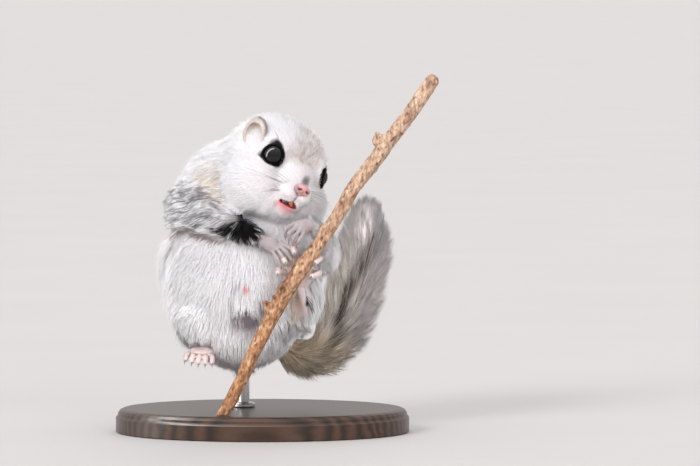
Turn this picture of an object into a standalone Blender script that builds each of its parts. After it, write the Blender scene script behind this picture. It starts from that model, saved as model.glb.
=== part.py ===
"""A flying squirrel in its winter coat, sitting up and gripping a twig, on a plain display stand.

It faces -Y, with its left side towards +X. The origin is the middle of the stand's underside.
The figures are millimetres, and point() and MM turn them into Blender's metres. Heights are
measured from a level that lies FLOOR under the stand, and at the end everything moves down by that.
"""

import math
import random

import bmesh
import bpy
from mathutils import Euler, Matrix, Vector

MM = 0.001
GAP = 0.3
COARSE_FROM = 1000

# Stand: an oval board, and one rod up into the rump
FLOOR = 14.0
BASE_LENGTH = 124.0
BASE_DEPTH = 98.0
BASE_HEIGHT = 10.0
BASE_BEVEL = 2.0
BASE_TOP = FLOOR + BASE_HEIGHT
ROD_RADIUS = 2.4
ROD_X, ROD_Y = -8.0, 5.0
ROD_TOP = 58.0

# Twig: its centre line from the board to the cut end, with the radius at each point
TWIG_LINE = (
    ((-21.4, -36.0, 11.4), 2.9),
    ((-16.2, -36.2, 23.4), 2.8),
    ((-9.6, -36.0, 36.3), 2.8),
    ((-3.4, -36.5, 49.3), 2.8),
    ((2.5, -37.0, 61.1), 3.0),
    ((7.1, -37.2, 70.0), 3.3),
    ((11.4, -37.2, 77.4), 3.5),
    ((17.5, -37.0, 86.4), 3.5),
    ((23.8, -36.5, 95.1), 3.1),
    ((31.1, -36.0, 106.0), 3.0),
    ((38.0, -35.5, 118.1), 3.1),
    ((46.3, -35.3, 128.8), 3.2),
    ((53.6, -35.0, 138.9), 3.2),
    ((62.5, -35.0, 150.6), 3.2),
    ((70.8, -35.0, 162.8), 3.2),
)
TWIG_SIDES = 8

# Head: where its middle is, and how it is turned, in degrees
HEAD_MIDDLE = (6.1, -13.0, 124.7)
HEAD_YAW, HEAD_PITCH, HEAD_ROLL = 31.0, 6.5, 23.0
EYE_RADIUS = 4.5
EYE_OUT = (0.70, -0.69, 0.20)
EYE_MIDDLE = (11.7, -12.7, 4.2)
LID_THICKNESS = 0.95
NOSE_MIDDLE = (0.0, -24.8, -4.0)
EARS = {
    1: ((16.0, 5.0, 9.5), (0.25, 0.50, 0.82), (0.80, -0.60, 0.20)),
    -1: ((-18.7, -3.6, 6.6), (-0.15, 0.0, 0.95), (-0.90, -0.45, 0.0)),
}

# Tail: its centre line from the rump to the end of its bone, with the core's radius
TAIL_LINE = (
    ((4.0, 17.0, 54.0), 7.0),
    ((12.0, 12.0, 47.0), 6.6),
    ((21.0, 6.0, 46.2), 6.0),
    ((29.5, 1.5, 52.0), 5.2),
    ((36.4, -1.0, 62.5), 4.4),
    ((41.0, -2.0, 76.0), 3.8),
    ((43.9, -2.0, 89.0), 3.2),
    ((44.6, -2.0, 100.0), 2.2),
)
BRUSH_FACES = Vector((0.12, -0.98, 0.10)).normalized()
BRUSH_LEFT, BRUSH_RIGHT = 14.5, 10.5
BRUSH_STATIONS = 30
BRUSH_LAYERS = ((0, 1.0, 0.0), (1, 0.72, 0.34), (-1, 0.72, 0.34))
TAIL_CUT = 0.42
LOCK_LENGTH, LOCK_WIDTH, LOCK_THICKNESS = 19.0, 6.4, 1.5

FUR_WHITE = (0.86, 0.85, 0.84)
FUR_GREY = (0.55, 0.53, 0.52)
FUR_BUFF = (0.62, 0.56, 0.48)
SKIN_PINK = (0.78, 0.55, 0.52)
BARK = (0.42, 0.27, 0.17)
EYE_BLACK = (0.01, 0.01, 0.012)
MOUTH_RED = (0.55, 0.12, 0.12)
TOOTH = (0.75, 0.42, 0.12)
STAND_WOOD = (0.20, 0.12, 0.07)
STEEL = (0.55, 0.55, 0.56)


def point(place):
    """A place in millimetres as a vector in metres."""
    return Vector(place) * MM


def head_turn():
    """The head's turn from facing -Y: first the roll, then the pitch, then the yaw."""
    roll = Matrix.Rotation(math.radians(HEAD_ROLL), 4, "Y")
    pitch = Matrix.Rotation(math.radians(HEAD_PITCH), 4, "X")
    yaw = Matrix.Rotation(math.radians(HEAD_YAW), 4, "Z")
    return Matrix.Translation(point(HEAD_MIDDLE)) @ yaw @ pitch @ roll


IN_HEAD = head_turn()
IN_BODY = Matrix.Identity(4)


# Clay: round lumps that a voxel remesh fuses into one smooth closed form


def clear_scene():
    for old in list(bpy.data.objects):
        bpy.data.objects.remove(old)


def add_object(name, mesh):
    made = bpy.data.objects.new(name, mesh)
    bpy.context.scene.collection.objects.link(made)
    return made


def add_ball(clay, middle, radii, turn=(0, 0, 0), frame=IN_BODY, detail=3):
    """Adds an ellipsoid. Its radii are along its own axes, which turn (degrees) tilts."""
    tilt = Euler([math.radians(angle) for angle in turn]).to_matrix().to_4x4()
    size = Matrix.Diagonal((*point(radii), 1.0))
    place = frame @ Matrix.Translation(point(middle)) @ tilt @ size
    bmesh.ops.create_icosphere(clay, subdivisions=detail, radius=1.0, matrix=place)


def smooth_line(knots, steps):
    """Points of a Catmull-Rom curve through knots of (place, radius), as (vector, radius)."""
    places = [Vector((*place, radius)) for place, radius in knots]
    places = [2 * places[0] - places[1], *places, 2 * places[-1] - places[-2]]
    line = []
    for a, b, c, d in zip(places, places[1:], places[2:], places[3:]):
        for step in range(steps):
            t = step / steps
            line.append(
                0.5 * (2 * b + (c - a) * t + (2 * a - 5 * b + 4 * c - d) * t**2)
                + 0.5 * (3 * b - a - 3 * c + d) * t**3
            )
    line.append(places[-2])
    return [(Vector(p[:3]), p[3]) for p in line]


def add_limb(clay, knots, steps=6, frame=IN_BODY, detail=2):
    """Adds a string of balls along a smooth line, close enough to fuse into a tapered limb."""
    for place, radius in smooth_line(knots, steps):
        add_ball(clay, place, (radius,) * 3, frame=frame, detail=detail)


def with_modifier(mesh, kind, **settings):
    """The mesh after one modifier, as a new mesh. The old one is removed."""
    helper = add_object("helper", mesh)
    modifier = helper.modifiers.new(kind, kind)
    for name, value in settings.items():
        setattr(modifier, name, value)
    graph = bpy.context.evaluated_depsgraph_get()
    made = bpy.data.meshes.new_from_object(helper.evaluated_get(graph))
    bpy.data.objects.remove(helper)
    bpy.data.meshes.remove(mesh)
    return made


def fuse(clay, voxel, rounds, triangles):
    """Fuses the lumps into one closed mesh of about that many triangles, and smooths it."""
    mesh = bpy.data.meshes.new("clay")
    clay.to_mesh(mesh)
    clay.free()
    mesh = with_modifier(mesh, "REMESH", mode="VOXEL", voxel_size=voxel * MM)
    mesh = with_modifier(mesh, "SMOOTH", factor=0.5, iterations=rounds)
    mesh = with_modifier(mesh, "TRIANGULATE")
    share = min(1.0, triangles / len(mesh.polygons))
    return with_modifier(mesh, "DECIMATE", ratio=share)


# Booleans between closed meshes


def boolean(mesh, others, operation, solver="EXACT"):
    """The mesh joined with, or cut by, the other meshes, as a new mesh."""
    tools = bpy.data.collections.new("tools")
    bpy.context.scene.collection.children.link(tools)
    for other in others:
        tools.objects.link(bpy.data.objects.new("tool", other))
    made = with_modifier(
        mesh,
        "BOOLEAN",
        operand_type="COLLECTION",
        collection=tools,
        operation=operation,
        solver=solver,
    )
    for tool in list(tools.objects):
        bpy.data.objects.remove(tool)
    bpy.data.collections.remove(tools)
    return made


def grown(mesh, distance):
    """A copy of the mesh, each vertex moved out along its normal."""
    copy = mesh.copy()
    form = bmesh.new()
    form.from_mesh(copy)
    bmesh.ops.recalc_face_normals(form, faces=form.faces)
    form.normal_update()
    moved = [vert.co + vert.normal * distance * MM for vert in form.verts]
    for vert, place in zip(form.verts, moved):
        vert.co = place
    form.to_mesh(copy)
    form.free()
    return copy


def room_of(form):
    """What the later nodes give way to: the form grown by the gap, with few triangles."""
    if len(form.polygons) < COARSE_FROM:
        return grown(form, GAP)
    return grown(with_modifier(form.copy(), "DECIMATE", ratio=0.55), GAP * 1.7)


def surfaces(form):
    """The face groups of a bmesh that hang together."""
    left = set(form.faces)
    while left:
        group, edge = set(), [left.pop()]
        while edge:
            face = edge.pop()
            group.add(face)
            for side in face.edges:
                for other in side.link_faces:
                    if other in left:
                        left.discard(other)
                        edge.append(other)
        yield group


def enclosed(group):
    """The volume that a closed group of triangles encloses."""
    total = 0.0
    for face in group:
        a, b, c = (vert.co for vert in face.verts)
        total += a.dot(b.cross(c)) / 6
    return total


def keep_largest(mesh):
    """Keeps the largest closed surface, which drops scraps and fills sealed hollows."""
    form = bmesh.new()
    form.from_mesh(mesh)
    bmesh.ops.remove_doubles(form, verts=form.verts, dist=1e-6)
    bmesh.ops.triangulate(form, faces=form.faces)
    groups = sorted(surfaces(form), key=enclosed)
    for group in groups[:-1]:
        bmesh.ops.delete(form, geom=list(group), context="FACES")
    form.to_mesh(mesh)
    form.free()


def reach(mesh):
    """The lowest and highest corner of a mesh."""
    low = Vector(map(min, *(vert.co for vert in mesh.vertices)))
    high = Vector(map(max, *(vert.co for vert in mesh.vertices)))
    return low, high


def near(one, other):
    """Whether two meshes' boxes overlap."""
    (low_a, high_a), (low_b, high_b) = reach(one), reach(other)
    return all(low_a[i] < high_b[i] and low_b[i] < high_a[i] for i in range(3))


# Head and what it carries, in the head's own frame


def head():
    clay = bmesh.new()
    add_ball(clay, (0, -15.5, -5.0), (9.6, 8.4, 6.6), frame=IN_HEAD)
    add_ball(clay, (0, -14.0, 1.0), (8.4, 8.0, 6.4), frame=IN_HEAD)
    add_ball(clay, (0, -3.0, -11.5), (15.0, 14.0, 10.5), frame=IN_HEAD, detail=4)
    add_ball(clay, (0, -9.5, -14.5), (9.5, 9.0, 6.4), frame=IN_HEAD)
    for side in (1, -1):
        add_ball(clay, (side * 2.6, 3.4, 3.0), (18.6, 21.0, 19.8), frame=IN_HEAD, detail=4)
        add_ball(clay, (side * 11.2, -5.4, -8.6), (12.8, 14.0, 12.4), frame=IN_HEAD, detail=4)
        add_ball(clay, (side * 7.2, -13.2, -11.6), (6.4, 6.4, 6.0), frame=IN_HEAD)
        add_ball(clay, (side * 6.4, -11.0, -15.0), (6.0, 7.0, 5.2), frame=IN_HEAD)
        add_ball(clay, (side * 3.3, -20.2, -7.3), (4.5, 4.5, 3.7), frame=IN_HEAD)
        add_ball(clay, (side * 8.4, -12.0, 8.4), (6.0, 4.6, 3.4), frame=IN_HEAD)
        add_lid(clay, side)
    form = fuse(clay, 0.55, 3, 1700)
    return boolean(form.copy(), [mouth_hollow()], "DIFFERENCE"), [form]


def mouth_hollow():
    """The open mouth: a flat bowl that curves back round the muzzle to its corners."""
    clay = bmesh.new()
    for step in range(9):
        turn = math.radians(-64 + 16 * step)
        spot = (5.0 * math.sin(turn), -16.4 - 4.4 * math.cos(turn), -11.6 + 0.3 * abs(math.sin(turn)))
        deep = 1.6 + 1.5 * math.cos(turn) ** 2
        height = 0.4 + 0.9 * math.cos(turn) ** 2
        add_ball(clay, spot, (1.8, deep, height), (0, 0, math.degrees(turn)), IN_HEAD, 2)
    return fuse(clay, 0.35, 1, 160)


def add_lid(clay, side):
    """Adds the raised rim round an eye, as a ring of small balls."""
    out = Vector((side * EYE_OUT[0], EYE_OUT[1], EYE_OUT[2])).normalized()
    across = out.cross(Vector((0, 0, 1))).normalized()
    up = across.cross(out)
    middle = Vector((side * EYE_MIDDLE[0], EYE_MIDDLE[1], EYE_MIDDLE[2])) + out * 1.6
    for step in range(28):
        angle = step * math.tau / 28
        spot = middle + across * math.cos(angle) * 4.7 + up * math.sin(angle) * 4.4
        add_ball(clay, spot, (LID_THICKNESS,) * 3, frame=IN_HEAD, detail=2)


def eye(side):
    clay = bmesh.new()
    middle = (side * EYE_MIDDLE[0], *EYE_MIDDLE[1:])
    add_ball(clay, middle, (EYE_RADIUS,) * 3, frame=IN_HEAD, detail=3)
    mesh = bpy.data.meshes.new("eye")
    clay.to_mesh(mesh)
    clay.free()
    return with_modifier(mesh, "DECIMATE", ratio=0.3)


def nose():
    """The bare nose pad, with two nostrils sunk in it."""
    clay = bmesh.new()
    add_ball(clay, NOSE_MIDDLE, (3.2, 2.3, 2.5), frame=IN_HEAD)
    add_ball(clay, (0, -24.2, -6.2), (1.2, 1.7, 2.0), frame=IN_HEAD)
    pad = fuse(clay, 0.25, 2, 200)
    holes = []
    for side in (1, -1):
        cutter = bmesh.new()
        add_ball(cutter, (side * 1.9, -26.9, -4.6), (0.85, 1.5, 0.6), (0, side * 35, 0), IN_HEAD, 2)
        hole = bpy.data.meshes.new("nostril")
        cutter.to_mesh(hole)
        cutter.free()
        holes.append(hole)
    return boolean(pad.copy(), holes, "DIFFERENCE"), [pad]


def jaw():
    """The lower jaw, dropped a little, with the lower lip as its front rim."""
    clay = bmesh.new()
    add_ball(clay, (0, -14.6, -14.6), (6.2, 6.4, 3.6), frame=IN_HEAD)
    for step in range(11):
        turn = math.radians(-75 + 15 * step)
        spot = (4.7 * math.sin(turn), -16.2 - 4.6 * math.cos(turn), -12.8 - 0.6 * math.cos(turn))
        add_ball(clay, spot, (1.0, 1.0, 0.9), frame=IN_HEAD, detail=2)
    form = fuse(clay, 0.35, 2, 240)
    return boolean(form.copy(), [mouth_hollow()], "DIFFERENCE"), [form]


def tongue():
    clay = bmesh.new()
    add_ball(clay, (0, -17.4, -12.7), (2.6, 3.2, 0.9), (6, 0, 0), IN_HEAD, 2)
    mesh = bpy.data.meshes.new("tongue")
    clay.to_mesh(mesh)
    clay.free()
    return mesh


def incisors():
    """The two upper front teeth, side by side."""
    clay = bmesh.new()
    for side in (1, -1):
        for step in range(6):
            spot = (side * 0.52, -20.2 - 0.12 * step, -9.4 - 0.5 * step)
            add_ball(clay, spot, (0.64, 0.55, 0.6), frame=IN_HEAD, detail=2)
    return fuse(clay, 0.18, 1, 110)


def ear(side):
    """A short rounded ear: a thin cup that opens forwards and out."""
    root, up, open_to = (Vector(value) for value in EARS[side])
    up = up.normalized()
    back = -(open_to - up * open_to.dot(up)).normalized()
    across = back.cross(up)
    frame = Matrix((across, back, up)).transposed().to_4x4()
    frame = IN_HEAD @ Matrix.Translation(point(root)) @ frame
    clay = bmesh.new()
    add_ball(clay, (0, 0, 3.4), (5.1, 2.9, 7.4), frame=frame, detail=4)
    shell = fuse(clay, 0.4, 1, 300)
    hollow = bmesh.new()
    add_ball(hollow, (0, -2.6, 3.9), (4.0, 4.2, 6.2), frame=frame, detail=3)
    cup = bpy.data.meshes.new("cup")
    hollow.to_mesh(cup)
    hollow.free()
    cup = with_modifier(cup, "DECIMATE", ratio=0.22)
    return boolean(shell.copy(), [cup], "DIFFERENCE"), [shell]


# Front limbs


def add_digit(clay, root, knuckle, tip, radius, steps=5):
    """Adds a finger or toe from root to tip by way of its knuckle, and its claw."""
    root, knuckle, tip = Vector(root), Vector(knuckle), Vector(tip)
    add_limb(clay, ((root, radius), (knuckle, radius * 1.05), (tip, radius * 0.82)), steps)
    beyond = (tip - knuckle).normalized()
    claw_end = tip + beyond * radius * 1.5 + Vector((0, 0, -radius * 0.7))
    add_limb(clay, ((tip, radius * 0.6), (claw_end, radius * 0.28)), 5)


RIGHT_WRIST = (0.5, -31.5, 96.5)
RIGHT_FINGERS = (
    ((4.4, -34.0, 93.0), (6.6, -36.4, 89.6), (8.2, -36.4, 86.6)),
    ((6.1, -34.4, 93.9), (9.0, -37.0, 90.2), (10.6, -36.8, 87.0)),
    ((7.5, -34.2, 94.8), (10.8, -36.6, 91.8), (12.6, -36.2, 88.9)),
    ((8.2, -33.6, 96.0), (11.8, -35.6, 93.8), (14.0, -35.0, 91.2)),
)
LEFT_WRIST = (20.0, -33.0, 103.2)
LEFT_FINGERS = (
    ((13.6, -35.6, 103.9), (10.4, -38.0, 101.8), (10.2, -36.2, 98.6)),
    ((14.6, -36.6, 102.4), (11.8, -39.2, 100.0), (11.6, -37.2, 97.2)),
    ((16.0, -37.0, 101.0), (13.6, -39.4, 98.4), (13.2, -37.2, 96.0)),
    ((17.6, -36.6, 99.8), (15.8, -38.6, 97.2), (15.0, -36.4, 95.2)),
)


def right_hand():
    clay = bmesh.new()
    add_ball(clay, (4.2, -33.4, 95.2), (4.0, 2.4, 3.2), (0, 35, 0))
    add_ball(clay, (1.6, -32.2, 96.2), (3.4, 2.4, 2.8), (0, 20, 0))
    for root, knuckle, tip in RIGHT_FINGERS:
        add_digit(clay, root, knuckle, tip, 0.85)
    return fuse(clay, 0.26, 1, 500)


def left_hand():
    clay = bmesh.new()
    add_ball(clay, (16.6, -34.9, 102.2), (3.6, 2.5, 3.4), (0, -30, 0))
    add_ball(clay, (18.8, -33.8, 103.0), (3.0, 2.6, 2.8))
    for root, knuckle, tip in LEFT_FINGERS:
        add_digit(clay, root, knuckle, tip, 0.9)
    return fuse(clay, 0.26, 1, 500)


RIGHT_ELBOW = (-31.5, -13.0, 106.0)
LEFT_ELBOW = (26.0, -18.0, 89.0)


def right_forearm():
    clay = bmesh.new()
    add_limb(
        clay,
        (
            (RIGHT_ELBOW, 7.0),
            ((-22.0, -22.0, 105.2), 7.8),
            ((-11.0, -28.4, 102.4), 6.4),
            ((-3.0, -31.2, 98.9), 4.3),
            (RIGHT_WRIST, 3.0),
        ),
    )
    return fuse(clay, 0.6, 3, 200)


def left_forearm():
    clay = bmesh.new()
    add_limb(
        clay,
        (
            (LEFT_ELBOW, 5.6),
            ((27.0, -24.0, 93.0), 5.2),
            ((24.5, -29.5, 99.5), 4.2),
            (LEFT_WRIST, 3.0),
        ),
    )
    return fuse(clay, 0.6, 3, 180)


def right_upper_arm():
    clay = bmesh.new()
    add_limb(clay, (((-22.0, -4.0, 118.0), 11.0), ((-29.0, -9.0, 111.5), 10.4), (RIGHT_ELBOW, 8.6)))
    add_ball(clay, (-19.0, -14.0, 111.0), (14.0, 11.5, 11.0), (0, -10, 0))
    return fuse(clay, 0.8, 4, 180)


def left_upper_arm():
    clay = bmesh.new()
    add_limb(clay, (((12.0, -4.0, 106.0), 9.5), ((20.5, -11.0, 97.0), 8.4), (LEFT_ELBOW, 6.6)))
    return fuse(clay, 0.8, 4, 160)


# Hind limbs

RIGHT_HEEL = (-20.0, 1.0, 50.5)
RIGHT_KNEE = (-25.0, -16.0, 66.0)
LEFT_HEEL = (18.0, -20.0, 62.5)
LEFT_KNEE = (18.5, -19.0, 82.5)
LEFT_TOES = (
    ((11.0, -31.0, 83.0), (7.4, -35.0, 84.6), (7.0, -38.6, 83.6)),
    ((12.0, -31.0, 87.0), (9.4, -35.2, 89.4), (10.0, -39.4, 88.2)),
    ((14.4, -31.0, 90.0), (13.4, -35.0, 93.6), (13.8, -39.6, 92.2)),
    ((20.6, -31.0, 88.4), (24.6, -34.6, 89.4), (22.8, -38.4, 88.0)),
    ((21.4, -31.0, 83.6), (24.2, -34.6, 83.0), (21.4, -38.4, 82.2)),
)
RIGHT_TOES = (
    ((-21.6, -19.6, 47.6), (-20.8, -24.4, 47.4), (-20.6, -28.0, 45.4)),
    ((-23.6, -20.6, 47.7), (-23.4, -26.2, 47.6), (-23.4, -30.2, 45.4)),
    ((-25.6, -20.8, 47.8), (-26.0, -26.6, 47.8), (-26.2, -30.6, 45.6)),
    ((-27.6, -20.0, 48.0), (-28.6, -25.4, 48.0), (-29.0, -29.2, 46.0)),
    ((-29.2, -18.2, 48.4), (-31.0, -22.6, 48.4), (-31.8, -26.0, 46.6)),
)


def left_foot():
    """The foot that holds the twig: its sole lies against it, and the toes close round it."""
    clay = bmesh.new()
    add_limb(clay, ((LEFT_HEEL, 5.0), ((18.0, -25.0, 69.0), 5.2), ((16.4, -28.6, 76.5), 5.2)))
    add_ball(clay, (15.8, -29.6, 83.4), (6.6, 3.6, 7.0), (0, 20, 0))
    for root, knuckle, tip in LEFT_TOES:
        add_digit(clay, root, knuckle, tip, 1.25)
    return fuse(clay, 0.32, 2, 560)


def right_foot():
    """The foot tucked under the flank, sole down and toes a little curled."""
    clay = bmesh.new()
    add_limb(clay, ((RIGHT_HEEL, 4.4), ((-22.5, -8.0, 49.4), 4.4), ((-24.8, -15.0, 49.0), 4.2)))
    add_ball(clay, (-25.4, -17.6, 48.6), (5.4, 5.4, 2.8), (0, 0, 10))
    for root, knuckle, tip in RIGHT_TOES:
        add_digit(clay, root, knuckle, tip, 1.15)
    return fuse(clay, 0.32, 2, 560)


def shin(knee, middle, heel):
    clay = bmesh.new()
    add_limb(clay, ((knee, 7.2), (middle, 6.6), (heel, 5.2)))
    return fuse(clay, 0.7, 3, 140)


def left_shin():
    return shin(LEFT_KNEE, (20.0, -17.5, 72.0), LEFT_HEEL)


def right_shin():
    return shin(RIGHT_KNEE, (-26.0, -8.0, 57.5), RIGHT_HEEL)


def right_thigh():
    clay = bmesh.new()
    add_ball(clay, (-23.5, -9.0, 64.0), (13.5, 19.0, 15.5), (0, 12, 0))
    return fuse(clay, 0.9, 3, 180)


def left_thigh():
    clay = bmesh.new()
    add_ball(clay, (6.5, -9.0, 68.5), (14.5, 18.5, 17.5), (0, 14, 0))
    add_ball(clay, (14.5, -13.0, 77.0), (9.5, 11.5, 11.0))
    return fuse(clay, 0.9, 3, 180)


# Flying skin, folded along each flank between wrist and ankle


def folded_skin(knots):
    clay = bmesh.new()
    for place, radius in smooth_line(knots, 5):
        add_ball(clay, place, (radius * 0.55, radius * 1.3, radius), detail=3)
    return fuse(clay, 0.7, 4, 200)


def right_skin():
    return folded_skin(
        (
            ((-36.0, -12.0, 97.0), 5.0),
            ((-39.3, -6.5, 89.0), 7.0),
            ((-38.6, -4.0, 78.0), 8.0),
            ((-35.8, -5.0, 67.0), 7.5),
            ((-31.2, -4.0, 57.0), 6.0),
        )
    )


def left_skin():
    return folded_skin(
        (
            ((24.0, -9.0, 90.0), 5.0),
            ((21.8, 0.0, 82.0), 6.6),
            ((20.2, 2.0, 72.0), 7.2),
            ((16.6, 2.0, 61.0), 6.4),
        )
    )


# Trunk of the body


def trunk():
    """Belly, back, shoulders and neck as one lump, before what grows from it is cut in."""
    clay = bmesh.new()
    add_ball(clay, (-9.0, -1.0, 77.0), (30.5, 31.0, 37.0), detail=4)
    add_ball(clay, (-10.0, 3.0, 110.0), (28.0, 26.0, 28.6), detail=4)
    add_ball(clay, (-9.5, 5.5, 92.0), (26.0, 26.5, 26.0), detail=4)
    add_ball(clay, (-5.0, 9.5, 62.0), (20.0, 20.0, 19.0), detail=4)
    add_ball(clay, (-7.0, -10.0, 60.0), (20.0, 20.0, 17.5), detail=4)
    add_ball(clay, (-3.0, 0.0, 127.0), (18.0, 17.0, 16.0), detail=4)
    add_ball(clay, (5.0, -12.0, 94.0), (16.0, 15.5, 17.0), detail=4)
    return fuse(clay, 1.0, 14, 1100)


NECK_CUT = (-9.0, 0.0, 119.0)
NECK_LIE = Vector((0.22, -0.10, 0.97)).normalized()


def halved(mesh, side):
    """The part of the mesh above (side 1) or below (side -1) the neck's cut."""
    form = bmesh.new()
    form.from_mesh(mesh)
    kept = NECK_LIE * side
    bmesh.ops.bisect_plane(
        form,
        geom=[*form.verts, *form.edges, *form.faces],
        plane_co=point(NECK_CUT) + kept * GAP * MM / 2,
        plane_no=-kept,
        clear_outer=True,
    )
    rim = [edge for edge in form.edges if edge.is_boundary]
    bmesh.ops.holes_fill(form, edges=rim)
    bmesh.ops.triangulate(form, faces=form.faces)
    bmesh.ops.recalc_face_normals(form, faces=form.faces)
    made = bpy.data.meshes.new("half")
    form.to_mesh(made)
    form.free()
    return made


# Tail


def lock(root, ahead, aside, face, length, reach_out, width, sides=4):
    """One flat tapered lock: it leaves the bone sideways and then bends towards the tip."""
    forward = length * 0.75
    bend = root + (ahead * 0.30 * forward + aside * 0.66 * reach_out) * MM
    tip = root + (ahead * forward + aside * reach_out) * MM
    form = bmesh.new()
    rings = []
    for t, share in ((0.0, 0.6), (0.38, 1.0), (0.76, 0.62)):
        place = root * (1 - t) ** 2 + bend * 2 * t * (1 - t) + tip * t**2
        along = ((bend - root) * (1 - t) + (tip - bend) * t).normalized()
        flat = along.cross(face).normalized() * width / 2 * share * MM
        deep = face * LOCK_THICKNESS / 2 * share * MM
        steps = (flat, deep, -flat, -deep)[:sides]
        rings.append([form.verts.new(place + step) for step in steps])
    point_end = form.verts.new(tip)
    form.faces.new(rings[0])
    for low, high in zip(rings, rings[1:]):
        for i in range(sides):
            j = (i + 1) % sides
            form.faces.new((low[i], low[j], high[j], high[i]))
    for i in range(sides):
        form.faces.new((rings[-1][i], rings[-1][(i + 1) % sides], point_end))
    bmesh.ops.triangulate(form, faces=form.faces)
    bmesh.ops.recalc_face_normals(form, faces=form.faces)
    mesh = bpy.data.meshes.new("lock")
    form.to_mesh(mesh)
    form.free()
    return mesh


def brush():
    """The tail's bone and down as a tapered core, with a flat brush of locks on both sides."""
    vary = random.Random(11)
    line = smooth_line(TAIL_LINE, 8)
    clay = bmesh.new()
    for place, radius in line:
        add_ball(clay, place, (radius, radius * 0.8, radius), detail=2)
    core = fuse(clay, 0.7, 2, 240)
    locks = []
    for station in range(BRUSH_STATIONS):
        share = 0.17 + 0.82 * station / (BRUSH_STATIONS - 1)
        index = min(int(share * (len(line) - 1)), len(line) - 2)
        place = line[index][0]
        ahead = (line[index + 1][0] - place).normalized()
        face = (BRUSH_FACES - ahead * BRUSH_FACES.dot(ahead)).normalized()
        layer, part, lean = BRUSH_LAYERS[station % len(BRUSH_LAYERS)]
        for side in (1, -1):
            out = BRUSH_RIGHT if side > 0 else BRUSH_LEFT
            out *= part * min(1.0, 0.5 + share * 1.4) * vary.uniform(0.9, 1.05)
            out *= 1.0 - 0.5 * max(0.0, share - 0.75) / 0.25
            lie = (ahead.cross(face) * side + face * layer * lean).normalized()
            root = point(place + face * layer * 1.2)
            size = LOCK_LENGTH * vary.uniform(0.94, 1.08)
            outward = face * (layer or 1)
            locks.append(lock(root, ahead, lie, outward, size, out, LOCK_WIDTH, 3 if layer else 4))
    end, before = line[-1][0], line[-3][0]
    ahead = (end - before).normalized()
    face = (BRUSH_FACES - ahead * BRUSH_FACES.dot(ahead)).normalized()
    for step in range(5):
        swing = -6.0 + 3.0 * step
        root = point(end + face * (0.8 if step % 2 else -0.8) - ahead * 2.0)
        lie = ahead.cross(face) * math.copysign(1, swing or 1)
        locks.append(lock(root, ahead, lie, face, 20.0, abs(swing), 5.4))
    return boolean(core, locks, "UNION")


def beyond(place, normal):
    """A large box whose near face passes through the place, square to the normal."""
    form = bmesh.new()
    turn = normal.to_track_quat("Z", "Y").to_matrix().to_4x4()
    size = 150.0
    middle = Matrix.Translation(point(place + normal * size / 2))
    bmesh.ops.create_cube(form, size=size * MM, matrix=middle @ turn)
    mesh = bpy.data.meshes.new("beyond")
    form.to_mesh(mesh)
    form.free()
    return mesh


def tail_part(side):
    """The brush cut across in two where it turns upwards: side 1 is the tip's, -1 the root's."""
    line = smooth_line(TAIL_LINE, 8)
    index = int(TAIL_CUT * (len(line) - 1))
    place = line[index][0]
    ahead = (line[index + 1][0] - place).normalized()
    removed = beyond(place + ahead * side * GAP / 2, -ahead * side)
    return boolean(BODY["brush"].copy(), [removed], "DIFFERENCE"), []


# Twig and stand


def twig():
    """A tapering stem with the scars and stubs of old buds."""
    wobble = random.Random(4)
    line = bpy.data.curves.new("twig", "CURVE")
    line.dimensions = "3D"
    line.bevel_depth = MM
    line.bevel_resolution = TWIG_SIDES // 4 - 1
    line.use_fill_caps = True
    spline = line.splines.new("POLY")
    places = smooth_line(TWIG_LINE, 2)
    spline.points.add(len(places) - 1)
    for spot, (place, radius) in zip(spline.points, places):
        spot.co = (*point(place), 1.0)
        spot.radius = radius * wobble.uniform(0.94, 1.06)
    helper = add_object("stem", line)
    graph = bpy.context.evaluated_depsgraph_get()
    stem = bpy.data.meshes.new_from_object(helper.evaluated_get(graph))
    bpy.data.objects.remove(helper)
    stem = flat_foot(stem)
    knots = []
    for place, radii, turn in (
        ((3.3, -38.0, 68.3), (2.2, 2.2, 3.8), (0, -12, 0)),
        ((9.8, -38.2, 76.2), (3.6, 3.6, 3.4), (0, 35, 0)),
        ((48.9, -35.4, 138.5), (2.8, 2.4, 3.2), (0, 36, 0)),
        ((27.3, -36.6, 100.8), (3.3, 3.0, 3.6), (0, 35, 0)),
    ):
        lump = bmesh.new()
        add_ball(lump, place, radii, turn, detail=2)
        knot = bpy.data.meshes.new("knot")
        lump.to_mesh(knot)
        lump.free()
        knots.append(knot)
    return boolean(stem.copy(), knots, "UNION"), [stem, *knots]


def flat_foot(stem):
    """Cuts the stem level just above the board."""
    form = bmesh.new()
    form.from_mesh(stem)
    bmesh.ops.remove_doubles(form, verts=form.verts, dist=1e-6)
    bmesh.ops.bisect_plane(
        form,
        geom=[*form.verts, *form.edges, *form.faces],
        plane_co=point((0, 0, BASE_TOP + GAP)),
        plane_no=(0, 0, -1),
        clear_outer=True,
    )
    rim = [edge for edge in form.edges if edge.is_boundary]
    if rim:
        bmesh.ops.holes_fill(form, edges=rim)
    bmesh.ops.recalc_face_normals(form, faces=form.faces)
    form.to_mesh(stem)
    form.free()
    return stem


def stand_base():
    form = bmesh.new()
    bmesh.ops.create_cone(
        form,
        cap_ends=True,
        segments=40,
        radius1=0.5,
        radius2=0.5,
        depth=1.0,
        matrix=Matrix.Translation(point((0, 0, FLOOR + BASE_HEIGHT / 2)))
        @ Matrix.Diagonal((BASE_LENGTH * MM, BASE_DEPTH * MM, BASE_HEIGHT * MM, 1.0)),
    )
    top = [edge for edge in form.edges if all(vert.co.z > BASE_TOP * 0.99 * MM for vert in edge.verts)]
    bmesh.ops.bevel(
        form, geom=top, offset=BASE_BEVEL * MM, segments=2, profile=0.5, affect="EDGES", material=-1
    )
    bmesh.ops.triangulate(form, faces=form.faces)
    mesh = bpy.data.meshes.new("base")
    form.to_mesh(mesh)
    form.free()
    return mesh


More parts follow.
